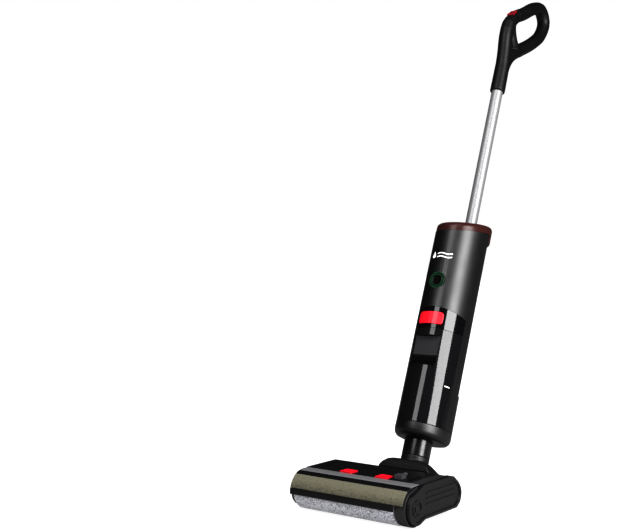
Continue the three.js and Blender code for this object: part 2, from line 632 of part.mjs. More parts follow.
// A point of the head's frame, in the leaning frame.
function leanPoint(y, z) {
  const [dy, dz] = [y - BODY_Y, z - BODY_Z];
  const [sine, cosine] = [Math.sin(rad(LEAN_DEG)), Math.cos(rad(LEAN_DEG))];
  return [dy * cosine - dz * sine, dy * sine + dz * cosine];
}

// The hood's width at each height above the recline axis, as an outline seen from the front.
function hoodArch() {
  const half = HOOD_HALF_WIDTH;
  const side = [[half, -2], [half, 8], [half - 2, 12], [half - 7, 18], [half - 15, 25], [half - 22, 29],
    [half - 28, HOOD_HEIGHT]];
  const mirrored = side.map(([x, z]) => [-x, z]).reverse();
  return new THREE.Shape([...side, ...mirrored].map(([x, z]) => new THREE.Vector2(x, z)));
}

// The hood seen from the right: steep at the front, and sloping down to the back.
function hoodSide() {
  return new THREE.Shape([[-HOOD_FRONT, 8], [-14, -2], [14, -2], [HOOD_BACK, 2], [HOOD_BACK, 8],
    [14, 17], [2, 26], [-7, HOOD_HEIGHT], [-HOOD_FRONT + 14, HOOD_HEIGHT], [-HOOD_FRONT + 5, HOOD_HEIGHT - 4],
    [-HOOD_FRONT + 0.5, 18]].map(([y, z]) => new THREE.Vector2(y, z)));
}

// Barrel on the recline axis, a wide hood over it, and the cup that the neck turns in.
function yoke() {
  const [axisY, axisZ] = leanPoint(RECLINE_Y, RECLINE_Z);
  const barrel = barX(axisY, axisZ, YOKE_R, -YOKE_HALF_LENGTH, YOKE_HALF_LENGTH);
  const archGeometry = new THREE.ExtrudeGeometry(hoodArch(), { depth: 100, bevelEnabled: false });
  archGeometry.rotateX(Math.PI / 2);
  archGeometry.translate(0, 50, 0);
  const hood = plateX(hoodSide(), -100, 100).intersect(solid(archGeometry)).translate([0, axisY, axisZ]);
  const cup = barZ(0, NECK_OFFSET, NECK_R, axisZ + 8, SWIVEL_LEVEL - GAP, 32);
  const bore = barZ(0, NECK_OFFSET, NECK_BORE_R, SWIVEL_LEVEL - 18, SWIVEL_LEVEL + 5);
  const [inletY, inletZ] = leanPoint(RECLINE_Y - 20, RECLINE_Z - 20);
  const inletGeometry = new THREE.CylinderGeometry(HOSE_R + 3, HOSE_R + 3, 70, ROUND_SIDES);
  inletGeometry.rotateX(Math.PI / 2 + Math.atan2(inletY - NECK_OFFSET, SWIVEL_LEVEL - 10 - inletZ));
  inletGeometry.translate(0, (inletY + NECK_OFFSET) / 2, (inletZ + SWIVEL_LEVEL - 10) / 2);
  const pinHole = (from, to) => barX(axisY, axisZ, PIVOT_PIN_R + GAP, from, to, SMALL_SIDES);
  const pinHoles = pinHole(-70, 13 - YOKE_HALF_LENGTH).add(pinHole(YOKE_HALF_LENGTH - 13, 70));
  return cut(add(barrel, hood, cup), bore, solid(inletGeometry), pinHoles);
}

function neckTube() {
  const tube = barZ(0, NECK_OFFSET, NECK_R, SWIVEL_LEVEL, BASE_BOTTOM - GAP, 32);
  const spigot = barZ(0, NECK_OFFSET, NECK_BORE_R - GAP, SWIVEL_LEVEL - 14, SWIVEL_LEVEL + 4);
  const bore = barZ(0, NECK_OFFSET, NECK_BORE_R - GAP - 3, SWIVEL_LEVEL - 20, BASE_BOTTOM + 5);
  return cut(add(tube, spigot), bore);
}

function suctionHose() {
  const start = new THREE.Vector3(0, NECK_OFFSET, SWIVEL_LEVEL - 8);
  const end = new THREE.Vector3(0, TOWER_MIDDLE, TANK_RIM + 20);
  const path = new THREE.CatmullRomCurve3([
    start,
    new THREE.Vector3(0, NECK_OFFSET, BASE_BOTTOM - 8),
    new THREE.Vector3(0, TOWER_MIDDLE, BASE_TOP - 1),
    new THREE.Vector3(0, TOWER_MIDDLE, BASE_TOP + 40),
    end,
  ]);
  const ring = (radius) => {
    const shape = new THREE.Shape();
    shape.absarc(0, 0, radius, 0, Math.PI * 2, false);
    return solid(new THREE.ExtrudeGeometry(shape, { steps: 14, curveSegments: 6, extrudePath: path }));
  };
  return ring(HOSE_R).subtract(ring(HOSE_R - HOSE_WALL));
}

// ---------------------------------------------------------------- lower body

// Bowl-shaped base with a rounded lower rim.
function baseShell() {
  const bowl = (inset, bottom, top) => {
    const r = BODY_HALF_DEPTH - inset;
    const profile = [[0, bottom], [r - 14, bottom], [r - 6.5, bottom + 2], [r - 2, bottom + 6.5],
      [r, bottom + 13], [r, top], [0, top]];
    return solid(ovalLathe(profile, inset));
  };
  const hollow = bowl(WALL, BASE_BOTTOM + WALL, BASE_TOP + 10);
  const neckHole = barZ(0, NECK_OFFSET + 1, HOSE_R + 6, BASE_BOTTOM - 5, BASE_BOTTOM + 10);
  const socket = box(-SOCKET_HALF_WIDTH, SOCKET_HALF_WIDTH, BODY_HALF_DEPTH - 15, BODY_HALF_DEPTH + 15,
    SOCKET_LEVEL, SOCKET_LEVEL + SOCKET_HEIGHT);
  return cut(bowl(0, BASE_BOTTOM, BASE_TOP - GAP), hollow, neckHole, socket);
}

function chargeSocket() {
  const face = BODY_HALF_DEPTH - 4;
  const block = box(-SOCKET_HALF_WIDTH + GAP, SOCKET_HALF_WIDTH - GAP, face - 11, face,
    SOCKET_LEVEL + GAP, SOCKET_LEVEL + SOCKET_HEIGHT - GAP);
  const pit = (x) => barY(x, SOCKET_LEVEL + SOCKET_HEIGHT / 2, 2, face - 3, face + 9, SMALL_SIDES);
  const contacts = pit(-4).add(pit(4));
  return block.subtract(contacts);
}

// Rear bulge over the battery, and the tower that stands between the two tanks.
function rearShell() {
  const front = TANK_BACK + GAP;
  const bulge = common(oval(0, BASE_TOP, REAR_BULGE_TOP), slice(front, 100));
  const tower = common(oval(0, BASE_TOP, TANK_TOP_FRONT + 30), slice(front, TOWER_BACK - GAP));
  const bulgeIn = common(oval(WALL, BASE_TOP - 5, REAR_BULGE_TOP - WALL), slice(front + WALL, 100));
  const towerIn = common(oval(WALL, BASE_TOP - 5, TANK_TOP_FRONT + 30), slice(front + WALL, TOWER_BACK - GAP - WALL));
  const top = belowSlope(TANK_TOP_FRONT - GAP, TANK_TOP_SLOPE_DEG);
  const topIn = belowSlope(TANK_TOP_FRONT - GAP - WALL, TANK_TOP_SLOPE_DEG);
  const hoseHole = barZ(0, TOWER_MIDDLE, HOSE_R + 1, TANK_RIM, TANK_TOP_FRONT + 60);
  return cut(common(add(bulge, tower), top), common(add(bulgeIn, towerIn), topIn), hoseHole);
}

function batteryPack() {
  const pack = box(-34, 34, TOWER_BACK + 2, TOWER_BACK + 24, BASE_TOP + 4, REAR_BULGE_TOP - 6);
  const frontPack = box(-42, 42, TANK_BACK + 24, TOWER_BACK + 3, BASE_TOP - 10, BASE_TOP + 10);
  return pack.add(cut(frontPack, box(-16, 16, TANK_BACK, TOWER_BACK, BASE_TOP - 20, BASE_TOP + 20)));
}

function waterPump() {
  const can = barZ(-30, TOWER_MIDDLE, 9, BASE_TOP + 30, BASE_TOP + 72);
  const headPart = box(-40, -20, TOWER_MIDDLE - 9, TOWER_MIDDLE + 9, BASE_TOP + 70, BASE_TOP + 92);
  const spout = barZ(-30, TOWER_MIDDLE, 3, BASE_TOP + 90, BASE_TOP + 104, SMALL_SIDES);
  return add(can, headPart, spout);
}

// ---------------------------------------------------------------- dirty water tank

function fingerRecess(grow) {
  return box(-RECESS_HALF_WIDTH - grow, RECESS_HALF_WIDTH + grow, -100, -BODY_HALF_DEPTH + RECESS_DEPTH + grow,
    RECESS_BOTTOM - grow, RECESS_TOP + grow);
}

function tankCup() {
  const bottom = BASE_TOP + GAP;
  const outside = common(oval(0, bottom, TANK_RIM), slice(-100, TANK_BACK));
  const inside = common(oval(WALL, bottom + WALL, TANK_RIM + 10), slice(-100, TANK_BACK - WALL));
  const hollow = inside.subtract(fingerRecess(WALL));
  return cut(outside, hollow, fingerRecess(0));
}

function latchPocket() {
  const behind = oval(LATCH_THICK + LATCH_TRAVEL + 1, LATCH_BOTTOM - 5, LATCH_TOP + 5);
  const band = cut(oval(-5, LATCH_BOTTOM - GAP, LATCH_TOP + GAP), behind);
  return band.intersect(box(-LATCH_HALF_WIDTH - GAP, LATCH_HALF_WIDTH + GAP, -100, -20, 0, 400));
}

function tankLid() {
  const bottom = TANK_RIM + GAP;
  const outside = common(oval(0, bottom, TANK_TOP_FRONT + 30), slice(-100, TANK_BACK));
  const insideOval = common(oval(WALL, bottom - 5, TANK_TOP_FRONT + 30), slice(-100, TANK_BACK - WALL));
  const top = belowSlope(TANK_TOP_FRONT, TANK_TOP_SLOPE_DEG);
  const ceiling = belowSlope(TANK_TOP_FRONT - WALL, TANK_TOP_SLOPE_DEG);
  const behindLatch = oval(LATCH_THICK + LATCH_TRAVEL + 1 + WALL, 0, 400);
  const latchZone = box(-LATCH_HALF_WIDTH - WALL, LATCH_HALF_WIDTH + WALL, -100, -20, LATCH_BOTTOM - WALL, 400);
  const hollow = common(insideOval, ceiling).subtract(latchZone.subtract(behindLatch));
  return cut(common(outside, top), hollow, latchPocket());
}

// Curved red latch across the front of the lid, with rounded corners.
function tankLatch() {
  const corner = 7;
  const [x, z0, z1] = [LATCH_HALF_WIDTH, LATCH_BOTTOM, LATCH_TOP];
  const shape = new THREE.Shape();
  shape.absarc(x - corner, z1 - corner, corner, 0, Math.PI / 2, false);
  shape.absarc(-x + corner, z1 - corner, corner, Math.PI / 2, Math.PI, false);
  shape.absarc(-x + corner, z0 + corner, corner, Math.PI, Math.PI * 1.5, false);
  shape.absarc(x - corner, z0 + corner, corner, Math.PI * 1.5, Math.PI * 2, false);
  const front = new THREE.ExtrudeGeometry(shape, { depth: 80, bevelEnabled: false, curveSegments: 4 });
  front.rotateX(Math.PI / 2);
  front.translate(0, -20, 0);
  const band = cut(oval(-0.6, z0 - 5, z1 + 5), oval(LATCH_THICK, z0 - 10, z1 + 10));
  return band.intersect(solid(front));
}

function standpipe() {
  const x = 20;
  const tube = barZ(x, TANK_INNER_Y, 9, BASE_TOP + 40, TANK_RIM + 8);
  return tube.subtract(barZ(x, TANK_INNER_Y, 7, BASE_TOP + 30, TANK_RIM + 20));
}

function tankFilter() {
  let cassette = box(-27, 27, TANK_INNER_Y - 12, TANK_INNER_Y + 11, TANK_RIM + 12, TANK_RIM + 30);
  for (let x = -22; x <= 22; x += 8) {
    cassette = cassette.subtract(box(x, x + 4, TANK_INNER_Y - 20, TANK_INNER_Y + 20, TANK_RIM + 16, TANK_RIM + 40));
  }
  return cassette;
}

function float() {
  const drum = barZ(-18, TANK_INNER_Y, FLOAT_R, TANK_RIM - 34, TANK_RIM - 14);
  return drum.subtract(barZ(-18, TANK_INNER_Y, FLOAT_R - 2, TANK_RIM - 36, TANK_RIM - 17));
}

// ---------------------------------------------------------------- clean water tank

function poleGroove(grow) {
  const from = CLEAN_TANK_TOP - POLE_SOCKET_DEPTH - grow;
  const round = barZ(0, POLE_OFFSET, SOCKET_R + grow, from, CLEAN_TANK_TOP + 60);
  const way = box(-SOCKET_R - grow, SOCKET_R + grow, -50, POLE_OFFSET, from, CLEAN_TANK_TOP + 60);
  return round.add(way);
}

function cleanTank() {
  const outside = common(oval(CLEAN_TANK_INSET, CLEAN_BOTTOM, CLEAN_TANK_TOP), slice(TOWER_BACK, 100));
  const inside = common(oval(CLEAN_TANK_INSET + WALL, CLEAN_BOTTOM + WALL, CLEAN_TANK_TOP - WALL),
    slice(TOWER_BACK + WALL, 100));
  const groove = poleGroove(1);
  const filler = box(-FILLER_HALF_WIDTH + 4, FILLER_HALF_WIDTH - 4, CLEAN_BACK - 8, 100,
    FILLER_LEVEL - FILLER_HALF_HEIGHT + 4, FILLER_LEVEL + FILLER_HALF_HEIGHT - 4);
  const seat = fillerFlap(GAP, CLEAN_TANK_INSET - 5, CLEAN_TANK_INSET + FILLER_CAP_THICK + GAP);
  const seatWall = fillerFlap(3, CLEAN_TANK_INSET, CLEAN_TANK_INSET + FILLER_CAP_THICK + WALL);
  const hollow = cut(inside, poleGroove(1 + WALL), seatWall);
  return cut(outside, hollow, groove, filler, seat);
}

// Curved panel over the filler opening, between two insets of the body's oval.
function fillerFlap(grow, outerInset, innerInset) {
  const block = box(-FILLER_HALF_WIDTH - grow, FILLER_HALF_WIDTH + grow, 0, 100,
    FILLER_LEVEL - FILLER_HALF_HEIGHT - grow, FILLER_LEVEL + FILLER_HALF_HEIGHT + grow);
  return common(block, cut(oval(outerInset, 0, 600), oval(innerInset, -10, 610)));
}

function cleanTankCap() {
  return fillerFlap(0, CLEAN_TANK_INSET - 0.8, CLEAN_TANK_INSET + FILLER_CAP_THICK);
}

// ---------------------------------------------------------------- upper body

function upperShell() {
  const back = TOWER_BACK - GAP;
  const outside = common(oval(0, TANK_TOP_FRONT - 20, CAP_FRONT_TOP + 60), slice(-100, back));
  const inside = common(oval(WALL, TANK_TOP_FRONT - 20, CAP_FRONT_TOP + 90), slice(-100, back - WALL));
  const capSeat = belowSlope(CAP_FRONT_TOP - CAP_THICK - GAP, CAP_SLOPE_DEG);
  const floor = belowSlope(TANK_TOP_FRONT + GAP, TANK_TOP_SLOPE_DEG);
  const floorTop = belowSlope(TANK_TOP_FRONT + GAP + WALL, TANK_TOP_SLOPE_DEG);
  const socketFrom = CLEAN_TANK_TOP - POLE_SOCKET_DEPTH;
  const socket = common(barZ(0, POLE_OFFSET, SOCKET_R, socketFrom, CAP_FRONT_TOP + 60), capSeat);
  const poleBore = barZ(0, POLE_OFFSET, POLE_R + GAP, socketFrom + 3, CAP_FRONT_TOP + 80);
  const airInlet = barZ(0, MOTOR_BAY_Y, 16, TANK_TOP_FRONT - 30, TANK_TOP_FRONT + 20);
  const buttonWell = barY(0, BUTTON_LEVEL, RING_R + GAP, -100, -BODY_HALF_DEPTH + WELL_DEPTH);
  const wellWall = common(barY(0, BUTTON_LEVEL, RING_R + 3, -100, -BODY_HALF_DEPTH + WELL_DEPTH + WALL), outside);
  const shell = cut(common(outside, capSeat), floor, cut(inside, floorTop, wellWall));
  const shaft = barY(0, BUTTON_LEVEL, STEM_R + GAP, -100, -30, SMALL_SIDES);
  return cut(add(shell, socket), poleBore, buttonWell, shaft, airInlet);
}

function ledRing() {
  const surface = -BODY_HALF_DEPTH - 0.4;
  const ring = barY(0, BUTTON_LEVEL, RING_R, surface, -BODY_HALF_DEPTH + WELL_DEPTH - GAP);
  return ring.subtract(barY(0, BUTTON_LEVEL, BUTTON_R + GAP, -100, 0));
}

function powerButton() {
  const capBack = -BODY_HALF_DEPTH + WELL_DEPTH - BUTTON_TRAVEL - GAP;
  const cap = barY(0, BUTTON_LEVEL, BUTTON_R, -BODY_HALF_DEPTH - 1, capBack);
  const stem = barY(0, BUTTON_LEVEL, STEM_R, -BODY_HALF_DEPTH + 4, -BODY_HALF_DEPTH + 2 * WELL_DEPTH, SMALL_SIDES);
  const dish = barY(0, BUTTON_LEVEL, BUTTON_R - 2.5, -BODY_HALF_DEPTH - 3, -BODY_HALF_DEPTH - 0.3);
  return cut(add(cap, stem), dish);
}

// The body's oval with a rounded upper rim and a top that rises to the back, drawn out towards the back.
function capDome(inset, depth) {
  const r = BODY_HALF_DEPTH - inset;
  const top = CAP_FRONT_TOP - inset;
  const round = CAP_ROUND - inset;
  const profile = [[0, top - depth], [r, top - depth], [r, top - round]];
  const steps = 5;
  for (let i = 1; i <= steps; i += 1) {
    const turn = (i / steps) * Math.PI / 2;
    profile.push([r - round * (1 - Math.cos(turn)), top - round * (1 - Math.sin(turn))]);
  }
  profile.push([0, top]);
  const geometry = ovalLathe(profile, inset);
  geometry.applyMatrix4(new THREE.Matrix4().makeShear(0, 0, 0, Math.tan(rad(CAP_SLOPE_DEG)), 0, 0));
  geometry.translate(0, 0, BODY_HALF_DEPTH * Math.tan(rad(CAP_SLOPE_DEG)));
  geometry.scale(1, 1 + CAP_SWELL / BODY_HALF_DEPTH, 1);
  geometry.translate(0, CAP_SWELL, 0);
  return solid(geometry);
}

function topCap() {
  const seat = belowSlope(CAP_FRONT_TOP - CAP_THICK, CAP_SLOPE_DEG);
  const lipZone = box(-100, 100, TOWER_BACK + GAP, 100, LIP_BOTTOM, CAP_FRONT_TOP + 100);
  const below = box(-100, 100, -100, 100, 0, CAP_FRONT_TOP - CAP_THICK - 5);
  const band = cut(capDome(0, 60), cut(seat, lipZone), below);
  const inside = capDome(CAP_WALL, 100);
  const poleHole = barZ(0, POLE_OFFSET, POLE_R + GAP, 0, 700);
  const collar = common(barZ(0, POLE_OFFSET, SOCKET_R + 1, CAP_FRONT_TOP - CAP_THICK, CAP_FRONT_TOP + 60),
    cut(belowSlope(CAP_FRONT_TOP - 1, CAP_SLOPE_DEG), seat));
  return cut(add(cut(band, inside), collar), poleHole);
}

function suctionMotor() {
  const can = barZ(0, MOTOR_BAY_Y, 29, TANK_TOP_FRONT + 31, TANK_TOP_FRONT + 44);
  const winding = barZ(0, MOTOR_BAY_Y, 19, TANK_TOP_FRONT + 43, TANK_TOP_FRONT + 86);
  const shaftHole = barZ(0, MOTOR_BAY_Y, 3, TANK_TOP_FRONT + 20, TANK_TOP_FRONT + 60, SMALL_SIDES);
  return cut(add(can, winding), shaftHole);
}

function impeller() {
  const z0 = TANK_TOP_FRONT + 20;
  let wheel = barZ(0, MOTOR_BAY_Y, 27, z0, z0 + 2);
  const blades = 9;
  for (let i = 0; i < blades; i += 1) {
    const geometry = new THREE.BoxGeometry(16, 1.4, 7);
    geometry.translate(17.5, 0, z0 + 5);
    geometry.rotateZ((i / blades) * Math.PI * 2);
    geometry.translate(0, MOTOR_BAY_Y, 0);
    wheel = wheel.add(solid(geometry));
  }
  const hub = barZ(0, MOTOR_BAY_Y, 8, z0, z0 + 8);
  const shaft = barZ(0, MOTOR_BAY_Y, 2.4, z0 + 7, z0 + 40, SMALL_SIDES);
  return add(wheel, hub, shaft);
}

function circuitBoard() {
  const z0 = TANK_TOP_FRONT + 102;
  const board = box(-32, 32, MOTOR_BAY_Y - 2, MOTOR_BAY_Y, z0, z0 + 60);
  const chips = add(box(-20, -6, MOTOR_BAY_Y - 5, MOTOR_BAY_Y - 1, z0 + 10, z0 + 24),
    box(4, 24, MOTOR_BAY_Y - 12, MOTOR_BAY_Y - 1, z0 + 8, z0 + 22),
    barY(-12, z0 + 44, 6, MOTOR_BAY_Y - 14, MOTOR_BAY_Y - 1, SMALL_SIDES));
  return add(board, chips);
}

// ---------------------------------------------------------------- pole and handle

function pole() {
  const tube = barZ(0, POLE_OFFSET, POLE_R, POLE_BOTTOM, POLE_TOP, 32);
  return tube.subtract(barZ(0, POLE_OFFSET, POLE_R - POLE_WALL, POLE_BOTTOM - 5, POLE_TOP + 5, 32));
}

// Middle lines of the grip's bars, as [y, z] in the leaning frame, measured from the pole's axis and the
// handle's lower end.
const LOOP = [
  [-4, 176], [8, 202], [46, 238], [92, 283], [124, 299], [151, 280], [144, 240], [116, 202],
  [69, 155], [40, 132], [13, 145]];
const STEM_BAR = [[0, 58], [-4, 100], [-11, 140], [-9, 174], [8, 202]];
const WEB_BAR = [[0, 50], [7, 80], [19, 104], [40, 128], [69, 155]];

function middleLine(points, closed) {
  return new THREE.CatmullRomCurve3(
    points.map(([y, z]) => new THREE.Vector3(0, POLE_OFFSET + y, HANDLE_LEVEL + z)), closed);
}

// A closed ring, so its tube has no open ends.
function loopBar(radius, sides, steps) {
  return solid(new THREE.TubeGeometry(middleLine(LOOP, true), steps, radius, sides, true));
}

function bar(points, radius, steps) {
  const shape = new THREE.Shape();
  shape.absarc(0, 0, radius, 0, Math.PI * 2, false);
  return solid(new THREE.ExtrudeGeometry(shape,
    { steps, curveSegments: 7, extrudePath: middleLine(points, false) }));
}

// Hollow grip with its stem, which sleeves the top of the pole.
function gripSolid() {
  const sleeveR = POLE_R + 3.4;
  const stem = barZ(0, POLE_OFFSET, sleeveR, HANDLE_LEVEL, HANDLE_LEVEL + 84, 32, GRIP_R + 0.8);
  const hollowStem = barZ(0, POLE_OFFSET, POLE_R + GAP, HANDLE_LEVEL - 5, POLE_TOP + GAP, 32);
  const outside = add(loopBar(GRIP_R, 14, 40), stem, bar(STEM_BAR, GRIP_R + 0.4, 9), bar(WEB_BAR, GRIP_R + 0.2, 9));
  const inner = add(loopBar(GRIP_R - GRIP_WALL, 10, 36), bar(STEM_BAR.slice(1), GRIP_R - GRIP_WALL + 0.2, 7));
  return cut(outside, inner, hollowStem, thumbWell());
}

// A block on the upper front corner of the loop; its own up axis leaves the grip.
function thumbBlock(grow, low, high) {
  const geometry = new THREE.BoxGeometry(
    2 * (THUMB_HALF_WIDTH + grow), 2 * (THUMB_HALF_LENGTH + grow), high - low);
  geometry.translate(0, 0, (low + high) / 2);
  geometry.rotateX(rad(THUMB_TILT_DEG));
  geometry.translate(0, THUMB_Y, THUMB_Z);
  return solid(geometry);
}

function thumbWell() {
  return thumbBlock(GAP, GRIP_R - 6.5, GRIP_R + 20);
}

function thumbButton() {
  return thumbBlock(0, GRIP_R - 4.5, GRIP_R + 1.2);
}

function handleHalf(side) {
  const half = side < 0 ? box(-60, -GAP / 2, -100, 300, 700, 1300) : box(GAP / 2, 60, -100, 300, 700, 1300);
  return common(gripSolid(), half);
}

// ---------------------------------------------------------------- assembly

function addHead() {
  piece(machine, 'head_base', headBase(), 'matteBlack');
  piece(machine, 'head_top_cover', headTopCover(), 'satinBlack');
  piece(machine, 'end_cap_left', endCapLeft(), 'satinBlack');
  piece(machine, 'drive_housing', driveHousing(), 'darkGrey');
  piece(machine, 'drive_cover', driveCover(), 'satinBlack');
  piece(machine, 'drive_belt', driveBelt(), 'rubber');
  piece(machine, 'roller_motor', rollerMotor(), 'steel');
  piece(machine, 'suction_duct', suctionDuct(), 'matteBlack');
  piece(machine, 'spray_bar', sprayBar(), 'white');
  piece(machine, 'roller_scraper', rollerScraper(), 'steel');
  piece(machine, 'floor_squeegee', floorSqueegee(), 'rubber');
  piece(machine, 'water_connector', waterConnector(), 'greyGloss');
  piece(machine, 'rear_axle', rearAxle(), 'steel');
  for (const [place, x, y] of SCREW_PLACES) {
    piece(machine, `base_screw_${place}`, baseScrew(x, y), 'steel');
  }
  for (const [name, side] of [['left', -1], ['right', 1]]) {
    piece(machine, `pivot_pin_${name}`, pivotPin(side), 'steel');
    piece(machine, `cover_latch_${name}`, coverLatch(side), 'red');
    piece(machine, `wheel_hub_${name}`, wheelHub(side), 'darkGrey');
    piece(machine, `wheel_tyre_${name}`, wheelTyre(side), 'rubber');
  }
}

function addRoller() {
  piece(machine, 'roller_sleeve', rollerSleeve(), 'microfibre');
  piece(machine, 'roller_core', rollerCore(), 'darkGrey');
  piece(machine, 'roller_pulley', rollerPulley(), 'darkGrey');
  piece(machine, 'motor_pulley', motorPulley(), 'steel');
  piece(machine, 'cover_window', coverWindow(), 'smoked');
  piece(machine, 'cover_lip', coverLip(), 'matteBlack');
  piece(machine, 'cover_frame', coverFrame(), 'greyGloss');
}

function addBody() {
  piece(leaning, 'yoke', yoke(), 'satinBlack');
  piece(leaning, 'neck_tube', neckTube(), 'satinBlack');
  piece(leaning, 'suction_hose', suctionHose(), 'rubber');
  piece(leaning, 'base_shell', baseShell(), 'satinBlack');
  piece(leaning, 'charge_socket', chargeSocket(), 'matteBlack');
  piece(leaning, 'rear_shell', rearShell(), 'matteBlack');
  piece(leaning, 'battery_pack', batteryPack(), 'battery');
  piece(leaning, 'water_pump', waterPump(), 'white');
  piece(leaning, 'tank_cup', tankCup(), 'glossBlack');
  piece(leaning, 'tank_lid', tankLid(), 'glossBlack');
  piece(leaning, 'tank_latch', tankLatch(), 'red');
  piece(leaning, 'standpipe', standpipe(), 'darkGrey');
  piece(leaning, 'tank_filter', tankFilter(), 'white');
  piece(leaning, 'tank_float', float(), 'red');
  piece(leaning, 'clean_tank', cleanTank(), 'clearTank');
  piece(leaning, 'clean_tank_cap', cleanTankCap(), 'satinBlack');
  piece(leaning, 'upper_shell', upperShell(), 'satinBlack');
  piece(leaning, 'led_ring', ledRing(), 'led');
  piece(leaning, 'power_button', powerButton(), 'glossBlack');
  piece(leaning, 'suction_motor', suctionMotor(), 'steel');
  piece(leaning, 'impeller', impeller(), 'white');
  piece(leaning, 'circuit_board', circuitBoard(), 'board');
  piece(leaning, 'top_cap', topCap(), 'glossBlack');
  piece(leaning, 'pole', pole(), 'aluminium');
  piece(leaning, 'handle_left', handleHalf(-1), 'satinBlack');
  piece(leaning, 'handle_right', handleHalf(1), 'satinBlack');
  piece(leaning, 'thumb_button', thumbButton(), 'red');
}

addHead();
addRoller();
addBody();

export default machine;
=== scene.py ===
"""Looks of the wet dry floor scrubber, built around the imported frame. Metres, +Z up, the front faces -Y."""

import json
import math

import bmesh
import bpy
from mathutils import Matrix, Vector


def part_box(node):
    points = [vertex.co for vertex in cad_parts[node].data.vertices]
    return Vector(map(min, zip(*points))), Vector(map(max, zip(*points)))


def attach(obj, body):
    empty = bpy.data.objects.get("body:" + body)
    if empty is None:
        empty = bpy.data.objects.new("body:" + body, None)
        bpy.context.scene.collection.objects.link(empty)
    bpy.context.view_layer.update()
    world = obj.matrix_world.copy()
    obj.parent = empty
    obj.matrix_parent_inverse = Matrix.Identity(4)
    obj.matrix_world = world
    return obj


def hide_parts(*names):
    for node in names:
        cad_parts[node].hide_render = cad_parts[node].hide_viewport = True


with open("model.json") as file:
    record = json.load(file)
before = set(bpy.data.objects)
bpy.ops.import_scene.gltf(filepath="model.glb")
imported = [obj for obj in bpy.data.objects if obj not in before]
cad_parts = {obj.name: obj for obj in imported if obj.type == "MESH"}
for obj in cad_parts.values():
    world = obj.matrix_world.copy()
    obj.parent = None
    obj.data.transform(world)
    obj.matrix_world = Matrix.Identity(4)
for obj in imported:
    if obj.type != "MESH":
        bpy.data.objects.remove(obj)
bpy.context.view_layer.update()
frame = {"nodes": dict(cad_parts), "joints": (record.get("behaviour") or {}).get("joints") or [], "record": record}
NODES = frame["nodes"]
RECORD = frame["record"]
JOINTS = {joint["name"]: joint for joint in frame["joints"]}
BODY_OF = {node: body for body, names in RECORD["behaviour"]["bodies"].items() for node in names}
SLOT_OF = {row["node"]: row["material_slot"] for row in RECORD["subparts"]}

MM = 0.001

# The leaning frame: UP runs along the body, BACK is square to it.
UP = Vector(JOINTS["swivel"]["axis"]).normalized()
BACK = Vector((0.0, UP.z, -UP.y))
NECK_AHEAD = 10 * MM
NECK_PLACE = Vector(JOINTS["swivel"]["pos_m"])
NECK_LEVEL = -42 * MM
BODY_ORIGIN = NECK_PLACE + BACK * NECK_AHEAD - UP * NECK_LEVEL

# Sizes of the CAD body that the pieces are fitted to, in the leaning frame.
BODY_HALF_WIDTH = 54.75 * MM
BODY_HALF_DEPTH = 65 * MM
BUTTON_LEVEL = 318 * MM
RECESS_HALF_WIDTH = 30 * MM
RECESS_BOTTOM = 136 * MM
RECESS_TOP = 199 * MM
RECESS_BACK = -43 * MM
POLE_BACK = 24 * MM
POLE_TOP = 864 * MM


def lean(x, back, up):
    """A point given in the leaning frame, in the row frame."""
    return Vector((x, 0, 0)) + BODY_ORIGIN + BACK * back + UP * up


# ---------------------------------------------------------------- camera

CAMERA_AZIMUTH = math.radians(38.09)
CAMERA_PLACE = Vector((1.0692, -1.5596, 0.4658))
SENSOR_MM = 36
LENS_MM = 58.35


def make_camera():
    data = bpy.data.cameras.new("camera")
    data.lens = LENS_MM
    data.sensor_width = SENSOR_MM
    camera = bpy.data.objects.new("camera", data)
    camera.location = CAMERA_PLACE
    camera.rotation_euler = (math.pi / 2, 0, CAMERA_AZIMUTH)
    bpy.context.scene.collection.objects.link(camera)
    bpy.context.scene.camera = camera


make_camera()

# ---------------------------------------------------------------- materials

SPECULAR = "Specular IOR Level"
TRANSMISSION = 0.3
PLASTIC_IOR = 1.46
WAVE_DEPTH = 0.03 * MM

# How far a grain is squeezed along each axis; the axis squeezed least is the one it runs along.
DRAWN_ALONG_X = (1, 12, 12)
DRAWN_ALONG_Z = (12, 12, 1)
DRAWN_LONG_Z = (14, 14, 0.6)

# Places along the head's own axes where the roller cover changes colour; the first two mark where the frame's
# painted reflection gives way to black.
PAINTED_REFLECTION_EDGE_Y = -60 * MM
PAINTED_REFLECTION_EDGE_BLUR = 0.3 * MM
WINDOW_FADE_TOP_Z = 60 * MM
WINDOW_FADE_END_Z = 36 * MM


